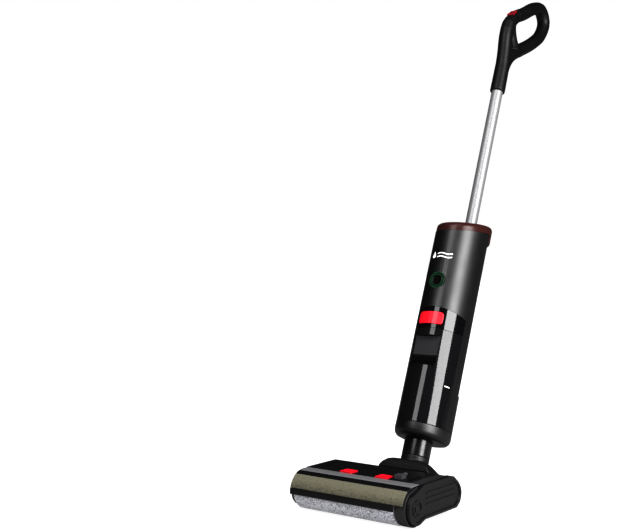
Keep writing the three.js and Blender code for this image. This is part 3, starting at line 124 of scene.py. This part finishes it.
class Finish:
    """A procedural material, with short ways to vary its roughness, colour and height."""

    def __init__(self, name, color, roughness, metallic=0.0):
        self.name = name
        self.color = color
        self.material = bpy.data.materials.new(name)
        self.material.use_nodes = True
        self.material.diffuse_color = (*color, 1)
        self.tree = self.material.node_tree
        self.shader = self.tree.nodes["Principled BSDF"]
        self.set("Base Color", (*color, 1))
        self.set("Roughness", roughness)
        self.set("Metallic", metallic)
        self.place = self.tree.nodes.new("ShaderNodeTexCoord").outputs["Object"]
        self.height = None

    def set(self, socket, value):
        self.shader.inputs[socket].default_value = value
        return self

    def link(self, output, target):
        self.tree.links.new(output, target)

    def noise(self, scale, detail, stretch=(1, 1, 1)):
        mapping = self.tree.nodes.new("ShaderNodeMapping")
        mapping.inputs["Scale"].default_value = stretch
        self.link(self.place, mapping.inputs["Vector"])
        texture = self.tree.nodes.new("ShaderNodeTexNoise")
        texture.inputs["Scale"].default_value = scale
        texture.inputs["Detail"].default_value = detail
        self.link(mapping.outputs["Vector"], texture.inputs["Vector"])
        return texture.outputs["Fac"]

    def cells(self, scale):
        texture = self.tree.nodes.new("ShaderNodeTexVoronoi")
        texture.inputs["Scale"].default_value = scale
        self.link(self.place, texture.inputs["Vector"])
        return texture.outputs["Distance"]

    def spread(self, value, low, high, start=0.3, end=0.7):
        """Takes start..end to low..high; most of a noise lies between 0.3 and 0.7."""
        node = self.tree.nodes.new("ShaderNodeMapRange")
        node.inputs["From Min"].default_value = start
        node.inputs["From Max"].default_value = end
        node.inputs["To Min"].default_value = low
        node.inputs["To Max"].default_value = high
        self.link(value, node.inputs["Value"])
        return node.outputs["Result"]

    def along(self, axis):
        """The place along one axis of the object's own frame."""
        split = self.tree.nodes.new("ShaderNodeSeparateXYZ")
        self.link(self.place, split.inputs["Vector"])
        return split.outputs[axis]

    def joined(self, operation, first, second):
        """Two values put together by a maths node."""
        node = self.tree.nodes.new("ShaderNodeMath")
        node.operation = operation
        self.link(first, node.inputs[0])
        self.link(second, node.inputs[1])
        return node.outputs["Value"]

    def rough(self, value, low, high):
        self.link(self.spread(value, low, high), self.shader.inputs["Roughness"])
        return self

    def tint(self, value, other, start=0.3, end=0.7):
        mix = self.tree.nodes.new("ShaderNodeMix")
        mix.data_type = "RGBA"
        mix.inputs["A"].default_value = (*self.color, 1)
        mix.inputs["B"].default_value = (*other, 1)
        self.link(self.spread(value, 0, 1, start, end), mix.inputs["Factor"])
        self.link(mix.outputs["Result"], self.shader.inputs["Base Color"])
        return self

    def bump(self, value, strength, distance):
        node = self.tree.nodes.new("ShaderNodeBump")
        node.inputs["Strength"].default_value = strength
        node.inputs["Distance"].default_value = distance
        self.link(value, node.inputs["Height"])
        if self.height:
            self.link(self.height, node.inputs["Normal"])
        self.height = node.outputs["Normal"]
        self.link(self.height, self.shader.inputs["Normal"])
        return self

    def clear(self):
        """Tinted plastic that lets some of the light through."""
        self.set("Transmission Weight", TRANSMISSION)
        return self.set("IOR", PLASTIC_IOR)


def lighter(color, gain):
    """The same colour, a little lighter, for worn or dusty patches."""
    lift = 0.0005
    return tuple(min(1, c * gain + lift) for c in color)


def moulded(name, color, low, high, grain=1800.0, depth=0.02 * MM):
    """Moulded plastic: a fine spark grain, and soft patches of handling wear."""
    made = Finish(name, color, (low + high) / 2)
    made.set(SPECULAR, 0.5)
    made.rough(made.noise(22.0, 4.0), low, high)
    made.tint(made.noise(9.0, 2.0), lighter(color, 1.25))
    return made.bump(made.noise(grain, 2.0), 0.25, depth)


def polished(name, color, low, high):
    """Glossy moulding: nearly a mirror, with faint moulding waves and dust in the gloss."""
    made = Finish(name, color, low)
    made.rough(made.noise(160.0, 6.0), low, high)
    made.tint(made.noise(14.0, 2.0), lighter(color, 1.15))
    return made.bump(made.noise(35.0, 1.0), 0.15, WAVE_DEPTH)


def brushed(name, color, low, high, drawn):
    """Metal drawn along one direction, with fine long scratches."""
    made = Finish(name, color, (low + high) / 2, 1.0)
    made.rough(made.noise(60.0, 5.0, drawn), low, high)
    made.tint(made.noise(35.0, 3.0, drawn), tuple(c * 0.88 for c in color))
    return made.bump(made.noise(400.0, 2.0, drawn), 0.08, 0.02 * MM)


def cover_painted_reflection():
    """Grey satin band of the cover's frame, which is a painted reflection of the overhead light; the strip in
    front of the seam is black.
    """
    made = Finish("cover_painted_reflection", (0.13, 0.13, 0.135), 0.34)
    made.set(SPECULAR, 0.7)
    made.rough(made.noise(30.0, 2.0), 0.32, 0.38)
    black = (0.004, 0.004, 0.005)
    # Grey where the painted reflection of the overhead light lies, black in front of the seam.
    made.tint(made.along("Y"), black, PAINTED_REFLECTION_EDGE_Y + PAINTED_REFLECTION_EDGE_BLUR, PAINTED_REFLECTION_EDGE_Y - PAINTED_REFLECTION_EDGE_BLUR)
    return made.bump(made.noise(900.0, 2.0), 0.1, 0.01 * MM)


def smoked_window():
    """Olive smoked cover: the pile shows through as a soft speckle, and fades towards the lower edge."""
    made = Finish("smoked_window", (0.18, 0.172, 0.13), 0.26).clear()
    made.rough(made.noise(60.0, 3.0), 0.22, 0.32)
    level = made.along("Z")
    speckle = made.noise(420.0, 3.0, (0.5, 1, 1))
    fade = made.spread(level, 0.1, 0.5, WINDOW_FADE_TOP_Z, WINDOW_FADE_END_Z)
    made.tint(made.joined("ADD", fade, made.spread(speckle, 0.0, 0.35)), (0.08, 0.074, 0.054))
    return made.bump(made.noise(45.0, 1.0), 0.1, 0.04 * MM)


def thumb_red():
    """Dark translucent red rubber with worn, blackened patches."""
    made = moulded("thumb_red", (0.3, 0.002, 0.012), 0.35, 0.5)
    return made.tint(made.noise(260.0, 2.0), (0.03, 0.002, 0.004), 0.42, 0.6)


def microfibre():
    """Pale grey pile with darker tufts and a deep, uneven surface."""
    made = Finish("microfibre", (0.46, 0.46, 0.49), 0.95)
    made.set("Sheen Weight", 0.15)
    made.tint(made.noise(430.0, 4.0), (0.15, 0.15, 0.165), 0.48, 0.6)
    made.rough(made.noise(200.0, 2.0), 0.85, 1.0)
    made.bump(made.cells(900.0), 0.9, 0.6 * MM)
    return made.bump(made.noise(300.0, 3.0), 0.6, 0.8 * MM)


def board_green():
    """Green solder mask with small gold pads."""
    made = Finish("board", (0.02, 0.12, 0.04), 0.4)
    made.tint(made.cells(180.0), (0.5, 0.38, 0.12), 0.02, 0.08)
    made.rough(made.noise(90.0, 2.0), 0.3, 0.5)
    return made.bump(made.noise(240.0, 1.0), 0.3, 0.1 * MM)


def grip_black():
    """Soft-touch black of the grip, which reflects less than the body."""
    made = moulded("grip_black", (0.003, 0.003, 0.0036), 0.42, 0.5, grain=1400.0, depth=0.03 * MM)
    return made.set(SPECULAR, 0.3)


def led_dark():
    """The unlit face of the light ring."""
    made = Finish("led", (0.004, 0.006, 0.005), 0.2)
    made.rough(made.noise(120.0, 3.0), 0.14, 0.25)
    return made.bump(made.noise(200.0, 1.0), 0.1, 0.02 * MM)


def led_lit():
    """The lit line of the light ring, with the slight unevenness of a light guide."""
    made = Finish("led_line", (0.02, 0.12, 0.045), 0.3)
    made.set("Emission Color", (0.04, 0.4, 0.14, 1))
    made.set("Emission Strength", 0.12)
    made.rough(made.noise(300.0, 2.0), 0.25, 0.4)
    made.tint(made.noise(160.0, 2.0), (0.01, 0.07, 0.03))
    return made.bump(made.noise(400.0, 1.0), 0.1, 0.02 * MM)


def make_finishes():
    """Every finish: its name, its linear colour, and its lowest and highest roughness."""
    return [
        moulded("satin_black", (0.0015, 0.0014, 0.0019), 0.4, 0.46).set(SPECULAR, 0.75),
        moulded("matte_black", (0.003, 0.0028, 0.0035), 0.44, 0.56, grain=1100.0, depth=0.04 * MM),
        grip_black(),
        polished("neck_black", (0.006, 0.0055, 0.006), 0.2, 0.27),
        polished("gloss_black", (0.003, 0.003, 0.0035), 0.06, 0.11),
        polished("smoked_tank", (0.01, 0.0098, 0.011), 0.05, 0.09).clear(),
        moulded("dark_grey", (0.02, 0.02, 0.022), 0.4, 0.55),
        polished("grey_gloss", (0.05, 0.05, 0.055), 0.2, 0.3),
        cover_painted_reflection(),
        polished("clear_tank", (0.02, 0.02, 0.022), 0.06, 0.12).clear(),
        moulded("red", (0.5, 0.003, 0.018), 0.3, 0.4),
        thumb_red(),
        moulded("white_plastic", (0.72, 0.72, 0.72), 0.35, 0.5),
        moulded("rubber", (0.012, 0.012, 0.012), 0.65, 0.85, grain=900.0, depth=0.06 * MM),
        brushed("steel", (0.42, 0.42, 0.43), 0.25, 0.42, DRAWN_ALONG_X),
        brushed("motor_steel", (0.38, 0.38, 0.4), 0.3, 0.45, DRAWN_ALONG_X),
        brushed("motor_aluminium", (0.6, 0.6, 0.62), 0.3, 0.42, DRAWN_ALONG_Z),
        brushed("aluminium", (0.24, 0.24, 0.245), 0.4, 0.5, DRAWN_LONG_Z).set("Metallic", 0.5),
        smoked_window(),
        microfibre(),
        board_green(),
        moulded("battery_cells", (0.03, 0.09, 0.24), 0.3, 0.5),
        led_dark(),
        led_lit(),
        moulded("cap_brown", (0.034, 0.011, 0.009), 0.24, 0.34).set(SPECULAR, 0.3),
    ]


FINISHES = {made.name: made for made in make_finishes()}

# ---------------------------------------------------------------- building pieces

BEVEL_FROM_DEG = 38
BEVEL_SEGMENTS = 2
WELD_REACH = 0.005 * MM
EDGE_RADIUS = 0.7 * MM
FINE_EDGE_RADIUS = 0.35 * MM
FACE_WEIGHT = 80
RELAX_FACTOR = 0.5


def dress(item, finish):
    item.data.materials.clear()
    item.data.materials.append(FINISHES[finish].material)


def shade_smooth(item):
    for face in item.data.polygons:
        face.use_smooth = True


def soften(item, radius):
    """Joins the facets that share a corner, rounds the hard edges and shades the rest evenly."""
    weld = item.modifiers.new("joined facets", "WELD")
    weld.merge_threshold = WELD_REACH
    if radius:
        bevel = item.modifiers.new("soft edges", "BEVEL")
        bevel.width = radius
        bevel.segments = BEVEL_SEGMENTS
        bevel.limit_method = "ANGLE"
        bevel.angle_limit = math.radians(BEVEL_FROM_DEG)
        bevel.use_clamp_overlap = True
    normals = item.modifiers.new("even shading", "WEIGHTED_NORMAL")
    normals.mode = "FACE_AREA_WITH_ANGLE"
    normals.weight = FACE_WEIGHT


def mesh_from(name, bm):
    mesh = bpy.data.meshes.new(name)
    bm.to_mesh(mesh)
    bm.free()
    return mesh


def new_object(name, mesh, finish):
    item = bpy.data.objects.new(name, mesh)
    bpy.context.scene.collection.objects.link(item)
    dress(item, finish)
    return item


def object_from(name, bm, finish):
    bmesh.ops.recalc_face_normals(bm, faces=bm.faces)
    return new_object(name, mesh_from(name, bm), finish)


def join_loops(bm, loops):
    """Faces between each loop of corners and the next one."""
    for first, second in zip(loops, loops[1:]):
        for i in range(len(first)):
            after = (i + 1) % len(first)
            bm.faces.new((first[i], first[after], second[after], second[i]))


def relax(item, voxel, passes, finish):
    """Remeshes a piece finely and lets its surface relax, as its own mesh."""
    remesh = item.modifiers.new("remesh", "REMESH")
    remesh.mode = "VOXEL"
    remesh.voxel_size = voxel
    calm = item.modifiers.new("relax", "SMOOTH")
    calm.factor = RELAX_FACTOR
    calm.iterations = passes
    graph = bpy.context.evaluated_depsgraph_get()
    mesh = bpy.data.meshes.new_from_object(item.evaluated_get(graph))
    item.modifiers.clear()
    before = item.data
    item.data = mesh
    bpy.data.meshes.remove(before)
    dress(item, finish)


def melted(name, node, voxel, passes, finish):
    """A smooth-blended piece in place of a CAD node: its solid remeshed finely and relaxed."""
    bm = bmesh.new()
    bm.from_mesh(NODES[node].data)
    item = new_object(name, mesh_from(name, bm), finish)
    relax(item, voxel, passes, finish)
    shade_smooth(item)
    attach(item, BODY_OF[node])
    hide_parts(node)


# ---------------------------------------------------------------- CAD nodes: finish, shading, soft edges

FINE_NODES = ("impeller", "circuit_board", "tank_filter", "roller_scraper", "drive_belt", "charge_socket",
              "suction_duct", "spray_bar", "roller_pulley", "led_ring", "power_button", "cover_lip")
UNBEVELLED = ("suction_hose", "roller_sleeve", "impeller", "suction_motor")
# The cover frame's finish paints the reflection of the overhead light as a grey band on its upper half.
SPECIAL_FINISH = {"top_cap": "cap_brown", "cover_frame": "cover_painted_reflection", "thumb_button": "thumb_red",
                  "neck_tube": "neck_black"}


def edge_radius(node):
    if node in UNBEVELLED:
        return 0.0
    return FINE_EDGE_RADIUS if node in FINE_NODES else EDGE_RADIUS


def dress_nodes():
    for node, item in NODES.items():
        dress(item, SPECIAL_FINISH.get(node, SLOT_OF[node]))
        shade_smooth(item)
        soften(item, edge_radius(node))


dress_nodes()

# ---------------------------------------------------------------- grip

GRIP_OVERLAP = 0.3 * MM
GRIP_VOXEL = 1.3 * MM
GRIP_PASSES = 14
GRIP_SKIN = 0.9 * MM
GRIP_BORE = 14.3 * MM
BORE_TOP = POLE_TOP + 2 * MM
THUMB_REACH = 19 * MM


def swell(mesh):
    """Soft-touch skin over the grip; it stops at the sleeve's bore and at the thumb button's well."""
    low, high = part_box("thumb_button")
    thumb = (low + high) / 2
    moves = []
    for vertex in mesh.vertices:
        place = vertex.co - BODY_ORIGIN
        off_axis = Vector((place.x, place.dot(BACK) - POLE_BACK)).length
        outside = off_axis > GRIP_BORE or place.dot(UP) > BORE_TOP
        clear = (vertex.co - thumb).length > THUMB_REACH
        moves.append(vertex.normal * GRIP_SKIN if outside and clear else Vector())
    for vertex, move in zip(mesh.vertices, moves):
        vertex.co += move


def make_grip():
    """The two halves of the grip, pushed a little into each other, flow into one rounded form."""
    bm = bmesh.new()
    for node, side in (("handle_left", 1), ("handle_right", -1)):
        half = bmesh.new()
        half.from_mesh(NODES[node].data)
        for vertex in half.verts:
            if abs(vertex.co.x) < GRIP_OVERLAP:
                vertex.co.x = side * GRIP_OVERLAP
        mesh = mesh_from(node, half)
        bm.from_mesh(mesh)
        bpy.data.meshes.remove(mesh)
    item = new_object("grip", mesh_from("grip", bm), "grip_black")
    relax(item, GRIP_VOXEL, GRIP_PASSES, "grip_black")
    swell(item.data)
    shade_smooth(item)
    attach(item, "body")
    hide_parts("handle_left", "handle_right")


make_grip()

# ---------------------------------------------------------------- roller pile

PILE_ROWS = 220
PILE_SIDES = 132
PILE_DEPTH = 0.9 * MM
PILE_BORE_EASE = 0.3 * MM
PILE_END_REACH = 5 * MM
PILE_END_FALL = 2.5 * MM


def tuft(row, side):
    """A repeatable value between 0 and 1 for each tuft."""
    value = math.sin(row * 12.9898 + side * 78.233) * 43758.5453
    return value - math.floor(value)


def pile_ring(bm, x, middle, reach):
    """Corners round the roller's axis; reach gives the radius at each side."""
    ring = []
    for side in range(PILE_SIDES):
        angle = side / PILE_SIDES * math.tau
        r = reach(side)
        ring.append(bm.verts.new((x, middle.y + r * math.cos(angle), middle.z + r * math.sin(angle))))
    return ring


def make_pile():
    """The fabric sleeve with its tufts standing at slightly different heights."""
    low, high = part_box("roller_sleeve")
    middle = (low + high) / 2
    length = high.x - low.x
    radius = (high.z - low.z) / 2
    core_low, core_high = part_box("roller_core")
    inner = (core_high.z - core_low.z) / 2 + PILE_BORE_EASE
    bm = bmesh.new()
    rings = []
    for row in range(PILE_ROWS + 1):
        share = row / PILE_ROWS
        edge = min(share, 1 - share) * length
        crown = radius - PILE_END_FALL * max(0, 1 - edge / PILE_END_REACH) ** 2
        rings.append(pile_ring(bm, low.x + length * share, middle,
                               lambda side: crown - PILE_DEPTH * tuft(row, side) ** 2))
    bores = [pile_ring(bm, x, middle, lambda side: inner) for x in (low.x, high.x)]
    join_loops(bm, [bores[0], *rings, bores[1], bores[0]])
    item = object_from("roller_pile", bm, "microfibre")
    shade_smooth(item)
    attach(item, "roller")
    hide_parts("roller_sleeve")


make_pile()

# ---------------------------------------------------------------- softened mouldings

melted("hood", "yoke", voxel=1.1 * MM, passes=6, finish="matte_black")
for tab in ("cover_latch_left", "cover_latch_right"):
    melted(tab + "_soft", tab, voxel=0.5 * MM, passes=6, finish="red")
melted("latch_soft", "tank_latch", voxel=0.6 * MM, passes=5, finish="red")

# ---------------------------------------------------------------- marks on the body

SKIN_SINK = 0.2 * MM
MARK_LIFT = 0.15 * MM
MARK_LEVEL = BUTTON_LEVEL + 56 * MM

DROP_X = -21 * MM
DROP_RADIUS = 5 * MM
DROP_BELOW = 1 * MM
DROP_POINT = 2.1          # height of the point above the middle, in radii
DROP_START_TURN = 0.85    # of half a turn, where the round part starts
DROP_ROUND_TURN = 1.3     # of half a turn, how far it goes round
DROP_STEPS = 20

WAVES = 2
WAVE_X = -12 * MM
WAVE_TOP_ABOVE = 4.5 * MM
WAVE_PITCH = 7.5 * MM
WAVE_LENGTH = 34 * MM
WAVE_RISE = 1.6 * MM
WAVE_THICK = 2.6 * MM
WAVE_STEPS = 16

# The dash lies on the tank's curved side, so narrow patches make it up.
TICK_PATCHES = 5
TICK_PATCH_WIDTH = 0.9 * MM
TICK_LEFT = 47.5 * MM
TICK_BOTTOM = 101 * MM
TICK_TOP = 103.2 * MM


def skin_point(x, up, lift):
    """A point on the front of the oval body, lifted off its surface."""
    share = math.sqrt(max(0, 1 - (x / BODY_HALF_WIDTH) ** 2))
    return lean(x, -BODY_HALF_DEPTH * share - lift, up)


def skin_patch(name, outline, body="body"):
    """A thin closed white patch of any outline, wrapped on the front of the body."""
    bm = bmesh.new()
    outer = [bm.verts.new(skin_point(x, up, MARK_LIFT)) for x, up in outline]
    inner = [bm.verts.new(skin_point(x, up, -SKIN_SINK)) for x, up in outline]
    bm.faces.new(outer)
    bm.faces.new(list(reversed(inner)))
    join_loops(bm, [inner, outer])
    bmesh.ops.triangulate(bm, faces=bm.faces)
    item = object_from(name, bm, "white_plastic")
    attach(item, body)


def drop_outline(x, up):
    """A water drop: round below, with a point above."""
    points = []
    for i in range(DROP_STEPS):
        angle = math.pi * DROP_START_TURN + i / (DROP_STEPS - 1) * math.pi * DROP_ROUND_TURN
        points.append((x + DROP_RADIUS * math.cos(angle), up + DROP_RADIUS * math.sin(angle)))
    points.append((x, up + DROP_RADIUS * DROP_POINT))
    return points


def wave_outline(x, up):
    """A band along one whole wave."""
    top = []
    for i in range(WAVE_STEPS + 1):
        share = i / WAVE_STEPS
        top.append((x + WAVE_LENGTH * share, up + WAVE_RISE * math.sin(share * math.tau)))
    bottom = [(px, pz - WAVE_THICK) for px, pz in reversed(top)]
    return top + bottom


def make_mark():
    """A plain drop over two waves, which says wet cleaning and names nobody."""
    skin_patch("mark_drop", drop_outline(DROP_X, MARK_LEVEL - DROP_BELOW))
    for i in range(WAVES):
        skin_patch(f"mark_wave_{i + 1}", wave_outline(WAVE_X, MARK_LEVEL + WAVE_TOP_ABOVE - WAVE_PITCH * i))


def make_level_tick():
    """A short dash on the side of the dirty tank, at its highest fill."""
    for i in range(TICK_PATCHES):
        left = TICK_LEFT + i * TICK_PATCH_WIDTH
        right = left + TICK_PATCH_WIDTH
        outline = [(left, TICK_BOTTOM), (right, TICK_BOTTOM), (right, TICK_TOP), (left, TICK_TOP)]
        skin_patch(f"level_tick_{i + 1}", outline, BODY_OF["tank_cup"])


make_mark()
make_level_tick()

# ---------------------------------------------------------------- finger recess

RECESS_EASE = 0.4 * MM
PANEL_FOOT = RECESS_BOTTOM + 19 * MM
PANEL_STEP = RECESS_BOTTOM + 23 * MM
PANEL_DEPTH = 12 * MM
PANEL_WAIST_DEPTH = 9 * MM
PANEL_LIP_DROP = 2 * MM
PANEL_WAIST_DROP = 6 * MM
PANEL_SIDE_EASE = 1 * MM
RAMP_FRONT = -59 * MM
RAMP_BACK_RISE = 13 * MM
RAMP_FRONT_RISE = 3 * MM


def lean_prism(name, outline, half_width, finish):
    """A piece of the dirty tank: an outline of (back, up) points, as thick as twice the half width."""
    bm = bmesh.new()
    sides = [[bm.verts.new(lean(x, back, up)) for back, up in outline] for x in (-half_width, half_width)]
    for side in sides:
        bm.faces.new(side)
    join_loops(bm, sides)
    item = object_from(name, bm, finish)
    soften(item, FINE_EDGE_RADIUS)
    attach(item, BODY_OF["tank_cup"])


def make_recess():
    """A grey liner panel at the back of the finger recess, and the ramp of its lower lip."""
    half = RECESS_HALF_WIDTH - RECESS_EASE
    back = RECESS_BACK - RECESS_EASE
    top = RECESS_TOP - RECESS_EASE
    front = back - PANEL_DEPTH
    waist = back - PANEL_WAIST_DEPTH
    panel = [(back, PANEL_FOOT), (back, top), (front, top), (front, RECESS_TOP - PANEL_LIP_DROP),
             (waist, RECESS_TOP - PANEL_WAIST_DROP), (waist, PANEL_STEP)]
    foot = RECESS_BOTTOM + RECESS_EASE
    ramp = [(back, foot), (back, RECESS_BOTTOM + RAMP_BACK_RISE),
            (RAMP_FRONT, RECESS_BOTTOM + RAMP_FRONT_RISE), (RAMP_FRONT, foot)]
    lean_prism("recess_panel", panel, half - PANEL_SIDE_EASE, "dark_grey")
    lean_prism("recess_ramp", ramp, half, "gloss_black")


make_recess()

# ---------------------------------------------------------------- light ring

LED_AHEAD = 0.5 * MM
LED_DEPTH = 0.3 * MM
LED_STEPS = 64


def make_led_line(name, radius, width):
    """A thin lit line round the button, on the face of the light ring."""
    inner = radius - width / 2
    outer = radius + width / 2
    front = -BODY_HALF_DEPTH - LED_AHEAD
    rear = front + LED_DEPTH
    bm = bmesh.new()
    loops = []
    for reach, back in ((inner, front), (outer, front), (outer, rear), (inner, rear)):
        turns = [i / LED_STEPS * math.tau for i in range(LED_STEPS)]
        loops.append([bm.verts.new(lean(reach * math.cos(turn), back, BUTTON_LEVEL + reach * math.sin(turn)))
                      for turn in turns])
    join_loops(bm, loops + loops[:1])
    item = object_from(name, bm, "led_line")
    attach(item, BODY_OF["led_ring"])


make_led_line("led_line_outer", radius=16.8 * MM, width=0.9 * MM)
make_led_line("led_line_inner", radius=12.5 * MM, width=0.8 * MM)

# ---------------------------------------------------------------- stage: floor, backdrop and light

FLOOR_HALF_SIZE = 30
FLOOR_GLOW = 0.84
FLOOR_FADE_FROM = 0.6
FLOOR_FADE_TO = 2.4
FLOOR_DIM_GLOW = 0.03
WORLD_DIM = 0.03
VIEW_GAMMA = 0.68
LIGHT_AIM = Vector((0, 0.15, 0.5))
LIGHT_DISTANCE = 2.6


def hidden_from_gloss(tree, seen, mirrored):
    """A level for the white surroundings: glossy rays get the mirrored one, all others the seen one."""
    path = tree.nodes.new("ShaderNodeLightPath")
    level = tree.nodes.new("ShaderNodeMapRange")
    level.inputs["To Min"].default_value = seen
    level.inputs["To Max"].default_value = mirrored
    tree.links.new(path.outputs["Is Glossy Ray"], level.inputs["Value"])
    return level.outputs["Result"]


def make_floor():
    """Pale floor that turns white further out, so it meets the backdrop without a line."""
    made = Finish("floor", (0.22, 0.22, 0.22), 0.8)
    made.set(SPECULAR, 0.2)
    made.set("Emission Color", (1, 1, 1, 1))
    distance = made.tree.nodes.new("ShaderNodeVectorMath")
    distance.operation = "LENGTH"
    made.link(made.place, distance.inputs[0])
    glow = made.spread(distance.outputs["Value"], FLOOR_GLOW, 1.0, FLOOR_FADE_FROM, FLOOR_FADE_TO)
    shown = made.joined("MULTIPLY", glow, hidden_from_gloss(made.tree, 1.0, FLOOR_DIM_GLOW))
    made.link(shown, made.shader.inputs["Emission Strength"])
    FINISHES["floor"] = made
    bm = bmesh.new()
    bmesh.ops.create_grid(bm, x_segments=1, y_segments=1, size=FLOOR_HALF_SIZE)
    object_from("floor", bm, "floor")


def make_world():
    world = bpy.data.worlds.new("studio")
    world.use_nodes = True
    background = world.node_tree.nodes["Background"]
    background.inputs["Color"].default_value = (1, 1, 1, 1)
    level = hidden_from_gloss(world.node_tree, 1.0, WORLD_DIM)
    world.node_tree.links.new(level, background.inputs["Strength"])
    bpy.context.scene.world = world


def area_light(name, turn_deg, elevation_deg, size, power):
    """A soft panel that looks at the machine; turn 0 is over the camera, and it grows to the right."""
    azimuth = CAMERA_AZIMUTH + math.radians(turn_deg)
    elevation = math.radians(elevation_deg)
    out = Vector((math.sin(azimuth) * math.cos(elevation), -math.cos(azimuth) * math.cos(elevation),
                  math.sin(elevation)))
    data = bpy.data.lights.new(name, "AREA")
    data.shape = "RECTANGLE"
    data.size, data.size_y = size
    data.energy = power
    item = bpy.data.objects.new(name, data)
    item.location = LIGHT_AIM + out * LIGHT_DISTANCE
    item.rotation_euler = (-out).to_track_quat("-Z", "Y").to_euler()
    bpy.context.scene.collection.objects.link(item)


def make_stage():
    make_floor()
    make_world()
    area_light("key", turn_deg=43, elevation_deg=20, size=(1.45, 2.4), power=190)
    area_light("left", turn_deg=-38, elevation_deg=40, size=(1.1, 1.7), power=46)
    area_light("overhead", turn_deg=-30, elevation_deg=66, size=(2.0, 1.0), power=26)
    view = bpy.context.scene.view_settings
    view.view_transform = "Standard"
    view.gamma = VIEW_GAMMA


make_stage()
